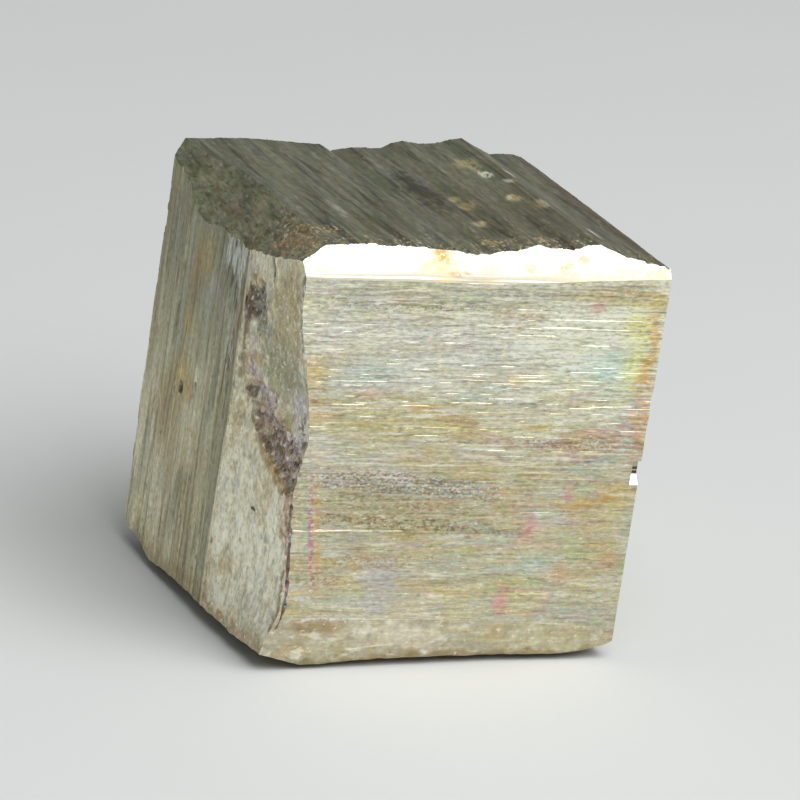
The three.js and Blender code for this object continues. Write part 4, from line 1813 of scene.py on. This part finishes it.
@dataclass(frozen=True)
class TopFinish(Finish):
    """The dark ridged top, with gold spots and pale streaks from front to back."""

    mineral: Paint = srgb(194, 193, 162)
    patches: tuple[Patch, ...] = (
        Patch(srgb(150, 162, 128), (0.5, 0.1, 1.0), 0.48, 0.5, 0.14),
        Patch(srgb(160, 142, 100), (0.7, 0.1, 1.0), 0.53, 0.5, 0.12),
        # Painted highlights: pale lilac-grey streaks from front to back along the ridges.
        Patch(srgb(190, 188, 188), (1.2, 0.08, 1.0), 0.54, 0.5, 0.1),
        # Painted shade: dark streaks from front to back, standing in for the shade between the ridges.
        Patch(srgb(104, 104, 84), (1.3, 0.1, 1.0), 0.54, 0.65, 0.1),
    )
    spots: tuple[Spot, ...] = (
        # Painted shade and a painted highlight of the ridges: two dark bands and a pale band from front to
        # back.
        Spot((12.85, 14.5), (0.7, 4.0), srgb(74, 72, 60), 0.7),
        Spot((9.8, 3.2), (0.35, 2.6), srgb(104, 100, 96), 0.6),
        Spot((20.7, 12), (0.4, 8.5), srgb(196, 194, 190), 0.5, level=0.42),
        Spot((23.4, 11), (0.55, 12), srgb(160, 132, 104), 0.6, ragged=0.4),
        # Painted highlight: a thin pale band from front to back along a ridge.
        Spot((2.15, 11), (0.25, 10), srgb(196, 194, 194), 0.35, soft=1.0, ragged=0.5),
        Spot((17, 6), (4, 6), srgb(156, 132, 94), 0.35, soft=1.0),
        Spot((17.91, 18.85), (0.8, 1.2), srgb(182, 150, 86), 0.5, level=0.45, dull=True),
        Spot((18.18, 16.51), (0.35, 0.6), CREAM, 0.7, level=0.4, layer=1, dull=True),
        Spot((19.95, 16.92), (0.35, 0.6), CREAM, 0.8, level=0.4, layer=2, dull=True),
        Spot((19.09, 14.91), (0.3, 0.4), CREAM, 0.5, dull=True),
        Spot((17.85, 11.83), (0.5, 0.25), srgb(226, 204, 150), 0.6, 60, dull=True),
        Spot((18.09, 11.44), (0.3, 0.5), GOLD, 0.6, dull=True),
        Spot((14.54, 10.46), (0.5, 0.8), srgb(178, 142, 82), 0.6, level=0.42, dull=True),
        Spot((19.28, 9.89), (0.5, 0.8), srgb(178, 142, 82), 0.5, dull=True),
        Spot((14.27, 12.1), (0.3, 0.5), srgb(206, 178, 118), 0.5, dull=True),
        Spot((5.06, 9.12), (0.3, 1.4), srgb(196, 194, 202), 0.4, dull=True),
        Spot((13.79, 6.9), (0.4, 0.7), srgb(230, 210, 160), 0.5, dull=True),
        Spot((20.93, 5.53), (0.25, 0.9), CREAM, 0.5, dull=True),
        Spot((2.5, 4.5), (0.9, 0.8), srgb(214, 164, 92), 0.7, level=0.54, dull=True),
        Spot((13.17, 3.22), (0.6, 0.6), srgb(206, 164, 96), 0.5, level=0.46, dull=True),
        Spot((16.2, 3.1), (0.7, 0.5), srgb(214, 184, 122), 0.5, level=0.5, layer=1, dull=True),
        Spot((12, 1.0), (13, 1.3), srgb(76, 70, 54), 0.35, 0, 0.54, 2),
        Spot((12, 1.6), (13, 2.4), srgb(196, 158, 96), 0.45, 0, 0.58, 1, dull=True),
        Spot((12, 1.3), (13, 2.2), CREAM, 0.45, 0, 0.61, 0, dull=True),
    )
    streaks: tuple[Patch, ...] = (
        Patch(srgb(236, 232, 214), (2.6, 0.4, 1.0), 0.62, 0.6, 0.06),
        Patch(srgb(200, 164, 100), (1.8, 0.9, 1.0), 0.63, 0.5, 0.06),
    )
    plane: str = "xy"
    edging: Triple = (3.0, 1.2, 1.0)
    cuts: Triple = (5.0, 2.4, 3.4)
    lines: Triple = (2.0, 0.14, 1.0)
    contrast: float = 1.4
    grains: Triple = (3.5, 1.2, 3.5)
    speckle: float = 1.0
    tint: float = 0.1
    roughness: Pair = (0.32, 0.14)
    relief: Pair = (0.03, 0.02)


@dataclass(frozen=True)
class BreakFinish(Finish):
    """The dark uneven break, streaked like the top, with bright and rusty grains."""

    mineral: Paint = srgb(188, 187, 156)
    patches: tuple[Patch, ...] = (
        Patch(srgb(150, 156, 124), (0.8, 0.15, 0.6), 0.48, 0.4, 0.14),
        Patch(srgb(154, 136, 96), (0.9, 0.25, 0.6), 0.52, 0.45, 0.12),
        Patch(srgb(112, 110, 88), (1.8, 0.3, 1.2), 0.54, 0.45, 0.12),
    )
    spots: tuple[Spot, ...] = (
        Spot((0.9, 5.2), (1.0, 1.8), srgb(224, 146, 58), 0.85, 0, 0.57, 0, dull=True),
        Spot((0.9, 3.2), (1.1, 1.6), srgb(218, 164, 90), 0.75, 0, 0.58, 1, dull=True),
        Spot((0.9, 4.0), (1.2, 3.2), srgb(124, 100, 62), 0.55, 0, 0.5, 2, dull=True),
        Spot((1.2, 11.7), (0.3, 0.9), srgb(156, 120, 96), 0.4, dull=True),
        Spot((0.8, 15.2), (0.5, 0.8), srgb(160, 128, 108), 0.35, dull=True),
        Spot((0.9, 5.5), (1.4, 4.5), srgb(226, 222, 204), 0.45, 0, 0.6, 2, dull=True),
        Spot((0.9, 6.5), (1.4, 6.0), srgb(170, 148, 82), 0.4, 0, 0.57, 1, dull=True),
    )
    streaks: tuple[Patch, ...] = (
        Patch(srgb(232, 230, 210), (3.0, 0.8, 2.4), 0.62, 0.6, 0.06),
        Patch(srgb(92, 86, 66), (3.6, 1.4, 3.0), 0.57, 0.45, 0.08),
    )
    plane: str = "xy"
    cuts: Triple = (4.5, 3.6, 4.5)
    lines: Triple = (2.0, 0.3, 1.2)
    contrast: float = 1.2
    grains: Triple = (4.2, 1.6, 4.2)
    speckle: float = 1.6
    tint: float = 0.12
    roughness: Pair = (0.36, 0.14)
    relief: Pair = (0.03, 0.03)


@dataclass(frozen=True)
class RightFinish(LeftFinish):
    """Upright striations of the right side, which the photograph doesn't show."""

    mineral: Paint = srgb(206, 202, 172)
    # Painted light, as on the left face: a little lighter towards the foot.
    foot: Paint = srgb(214, 206, 174)
    spots: tuple[Spot, ...] = (
        Spot((6.0, 17.0), (1.4, 3.4), srgb(186, 160, 104), 0.5, ragged=0.9),
        Spot((17.5, 7.0), (2.2, 4.2), srgb(176, 150, 100), 0.45, ragged=0.9),
        Spot((13.0, 19.0), (1.6, 2.6), srgb(232, 230, 214), 0.5, ragged=0.9),
        Spot((17.2, 8.4), (0.6, 1.6), UMBER, 0.7, level=0.5),
        Spot((5.6, 18.6), (0.5, 1.2), UMBER, 0.6, level=0.54, layer=1),
        Spot((12.0, -1.0), (12.0, 0.9), srgb(164, 140, 96), 0.5, ragged=1.0),
    )


@dataclass(frozen=True)
class BackFinish(FrontFinish):
    """Level striations of the back, which the photograph doesn't show."""

    mineral: Paint = srgb(208, 204, 176)
    # Painted shade, as on the front face: a little darker towards the foot.
    foot: Paint = srgb(204, 196, 164)
    spots: tuple[Spot, ...] = (
        Spot((7.0, 17.0), (4.4, 1.4), srgb(196, 168, 110), 0.5, ragged=0.9),
        Spot((16.0, 8.0), (5.2, 1.8), srgb(184, 156, 100), 0.5, ragged=0.9),
        Spot((17.0, 19.0), (3.6, 1.2), srgb(236, 234, 218), 0.5, ragged=0.9),
        Spot((15.0, 8.4), (2.2, 0.5), UMBER, 0.7, level=0.52),
        Spot((12.0, -1.0), (12.0, 0.9), srgb(164, 140, 96), 0.5, ragged=1.0),
    )


@dataclass(frozen=True)
class BaseFinish(Finish):
    """The dull broken underside."""

    mineral: Paint = srgb(132, 126, 104)
    patches: tuple[Patch, ...] = (
        Patch(srgb(156, 138, 104), (0.8, 0.8, 0.8), 0.48, 0.7, 0.12),
        Patch(srgb(96, 90, 74), (1.6, 1.6, 1.6), 0.56, 0.6),
    )
    plane: str = "xy"
    lines: Triple = (1.8, 1.8, 1.8)
    speckle: float = 1.4
    roughness: Pair = (0.5, 0.15)
    relief: Pair = (0.08, 0.04)
    metallic: float = 0.8


@dataclass(frozen=True)
class NotchFinish(Finish):
    """The notch: a grey wall, dark where it meets the bright ledge."""

    mineral: Paint = srgb(236, 234, 226)
    spots: tuple[Spot, ...] = (
        Spot((24.0, 12.2), (2.0, 0.85), srgb(176, 176, 150), 0.95, soft=0.08, ragged=0.0),
        # Painted shade: a dark band on the wall just above the ledge.
        Spot((24.0, 11.56), (2.0, 0.24), srgb(70, 68, 50), 0.95, soft=0.3, ragged=0.1),
        Spot((24.0, 11.58), (2.0, 0.05), srgb(210, 206, 160), 0.8, soft=0.4, ragged=0.1),
    )
    contrast: float = 0.3
    speckle: float = 0.3
    tint: float = 0.1
    relief: Pair = (0.002, 0.002)


@dataclass(frozen=True)
class CrackFinish(Finish):
    """Brown oxide with lilac-grey and pale grains in the crack, dull and grainy."""

    mineral: Paint = srgb(168, 142, 122)
    patches: tuple[Patch, ...] = (
        Patch(srgb(176, 170, 186), (1.8, 1.8, 1.2), 0.5, 0.8, 0.06),
        Patch(srgb(92, 72, 62), (2.4, 2.4, 1.6), 0.54, 0.7, 0.06),
        Patch(srgb(232, 224, 208), (3.0, 3.0, 2.4), 0.6, 0.8, 0.06),
    )
    speckle: float = 1.4
    roughness: Pair = (0.45, 0.2)
    relief: Pair = (0.02, 0.03)
    metallic: float = 0.2


# One finish for each surface, in the order of the surfaces.
FINISHES: tuple[Finish, ...] = (
    FrontFinish(), BevelFinish(), FootFinish(), LeftFinish(), StripFinish(), TopFinish(), BreakFinish(),
    RightFinish(), BackFinish(), BaseFinish(), NotchFinish(), CrackFinish(),
)


@dataclass(frozen=True)
class Floor:
    """The plain pale floor, in metres."""

    half: float = 2.5
    colour: Paint = srgb(226, 228, 227)
    mottling: float = 0.03
    roughness: float = 0.9

    def build(self) -> bpy.types.Object:
        """Make the floor and its finish.

        Returns:
            The floor.
        """
        mesh = bpy.data.meshes.new("floor")
        corners = [(-1, -1), (1, -1), (1, 1), (-1, 1)]
        mesh.from_pydata([(a * self.half, b * self.half, 0) for a, b in corners], [], [(0, 1, 2, 3)])
        material = bpy.data.materials.new("pale_floor")
        graph = Graph(material, Matrix.Identity(4))
        shade = 1 - self.mottling / 2 + graph.noise((30.0, 30.0, 30.0)) * self.mottling
        colour = graph.plain(self.colour).lit(shade)
        inputs = {"Base Color": colour, "Roughness": self.roughness}
        shader = graph.node("ShaderNodeBsdfPrincipled", {}, inputs)
        graph.node("ShaderNodeOutputMaterial", {}, {"Surface": shader.outputs[0]})
        mesh.materials.append(material)
        floor = bpy.data.objects.new("floor", mesh)
        bpy.context.scene.collection.objects.link(floor)
        return floor


@dataclass(frozen=True)
class Softbox:
    """A soft light that faces the crystal, in metres and watts."""

    name: str
    place: Triple
    size: Pair
    power: float
    colour: Triple = (1.0, 1.0, 1.0)
    target: Triple = (0.0, 0.0, 0.012)

    def build(self) -> bpy.types.Object:
        """Make the light.

        Returns:
            The light.
        """
        lamp = bpy.data.lights.new(self.name, "AREA")
        lamp.shape = "RECTANGLE"
        lamp.size, lamp.size_y = self.size
        lamp.energy = self.power
        lamp.color = self.colour
        light = bpy.data.objects.new(self.name, lamp)
        light.location = self.place
        direction = Vector(self.target) - Vector(self.place)
        light.rotation_euler = direction.to_track_quat("-Z", "Y").to_euler()
        bpy.context.scene.collection.objects.link(light)
        return light


@dataclass(frozen=True)
class Studio:
    """The camera, the lights and the floor, in metres."""

    camera_place: Triple = (-0.143965, -0.326776, 0.131360)
    camera_right: Triple = (0.922762, -0.372358, 0.099294)
    camera_up: Triple = (0.030585, 0.327609, 0.944318)
    lens: float = 270.0
    sensor: float = 36.0
    clip_start: float = 0.01
    surroundings: float = 0.22
    sky: Paint = (0.97, 1.0, 1.0, 1.0)
    lights: tuple[Softbox, ...] = (
        Softbox("key_softbox", (0.156, -0.179, 0.27), (0.3, 0.3), 0.36),
        Softbox("overhead_softbox", (0.15, -0.55, 0.85), (1.0, 1.0), 8.6),
    )

    def build(self) -> None:
        """Make the camera, the lights, the surroundings and the floor."""
        right, up = Vector(self.camera_right), Vector(self.camera_up)
        turn = Matrix((right, up, right.cross(up))).transposed().to_4x4()
        lens = bpy.data.cameras.new("photo_camera")
        lens.lens, lens.sensor_width, lens.clip_start = self.lens, self.sensor, self.clip_start
        camera = bpy.data.objects.new("photo_camera", lens)
        camera.matrix_world = Matrix.Translation(self.camera_place) @ turn
        bpy.context.scene.collection.objects.link(camera)
        bpy.context.scene.camera = camera
        for light in self.lights:
            light.build()
        world = bpy.data.worlds.new("studio")
        world.use_nodes = True
        backdrop = world.node_tree.nodes["Background"]
        backdrop.inputs["Color"].default_value = self.sky
        backdrop.inputs["Strength"].default_value = self.surroundings
        bpy.context.scene.world = world
        bpy.context.scene.view_settings.view_transform = "Standard"
        Floor().build()


def main() -> None:
    """Build the studio and the crystal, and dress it."""
    logging.basicConfig(level=logging.INFO, format="%(name)s: %(message)s")
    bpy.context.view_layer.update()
    Studio().build()
    crystal = Crystal()
    materials = [bpy.data.materials.new(surface.value) for surface in Surface]
    body = crystal.build(materials)
    crystal.dress(materials)
    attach(body, "root")
    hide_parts(crystal.node)
    triangles = sum(len(face.vertices) - 2 for face in body.data.polygons)
    LOG.info("%s: %d triangles", body.name, triangles)


if __name__ == "__main__":
    main()
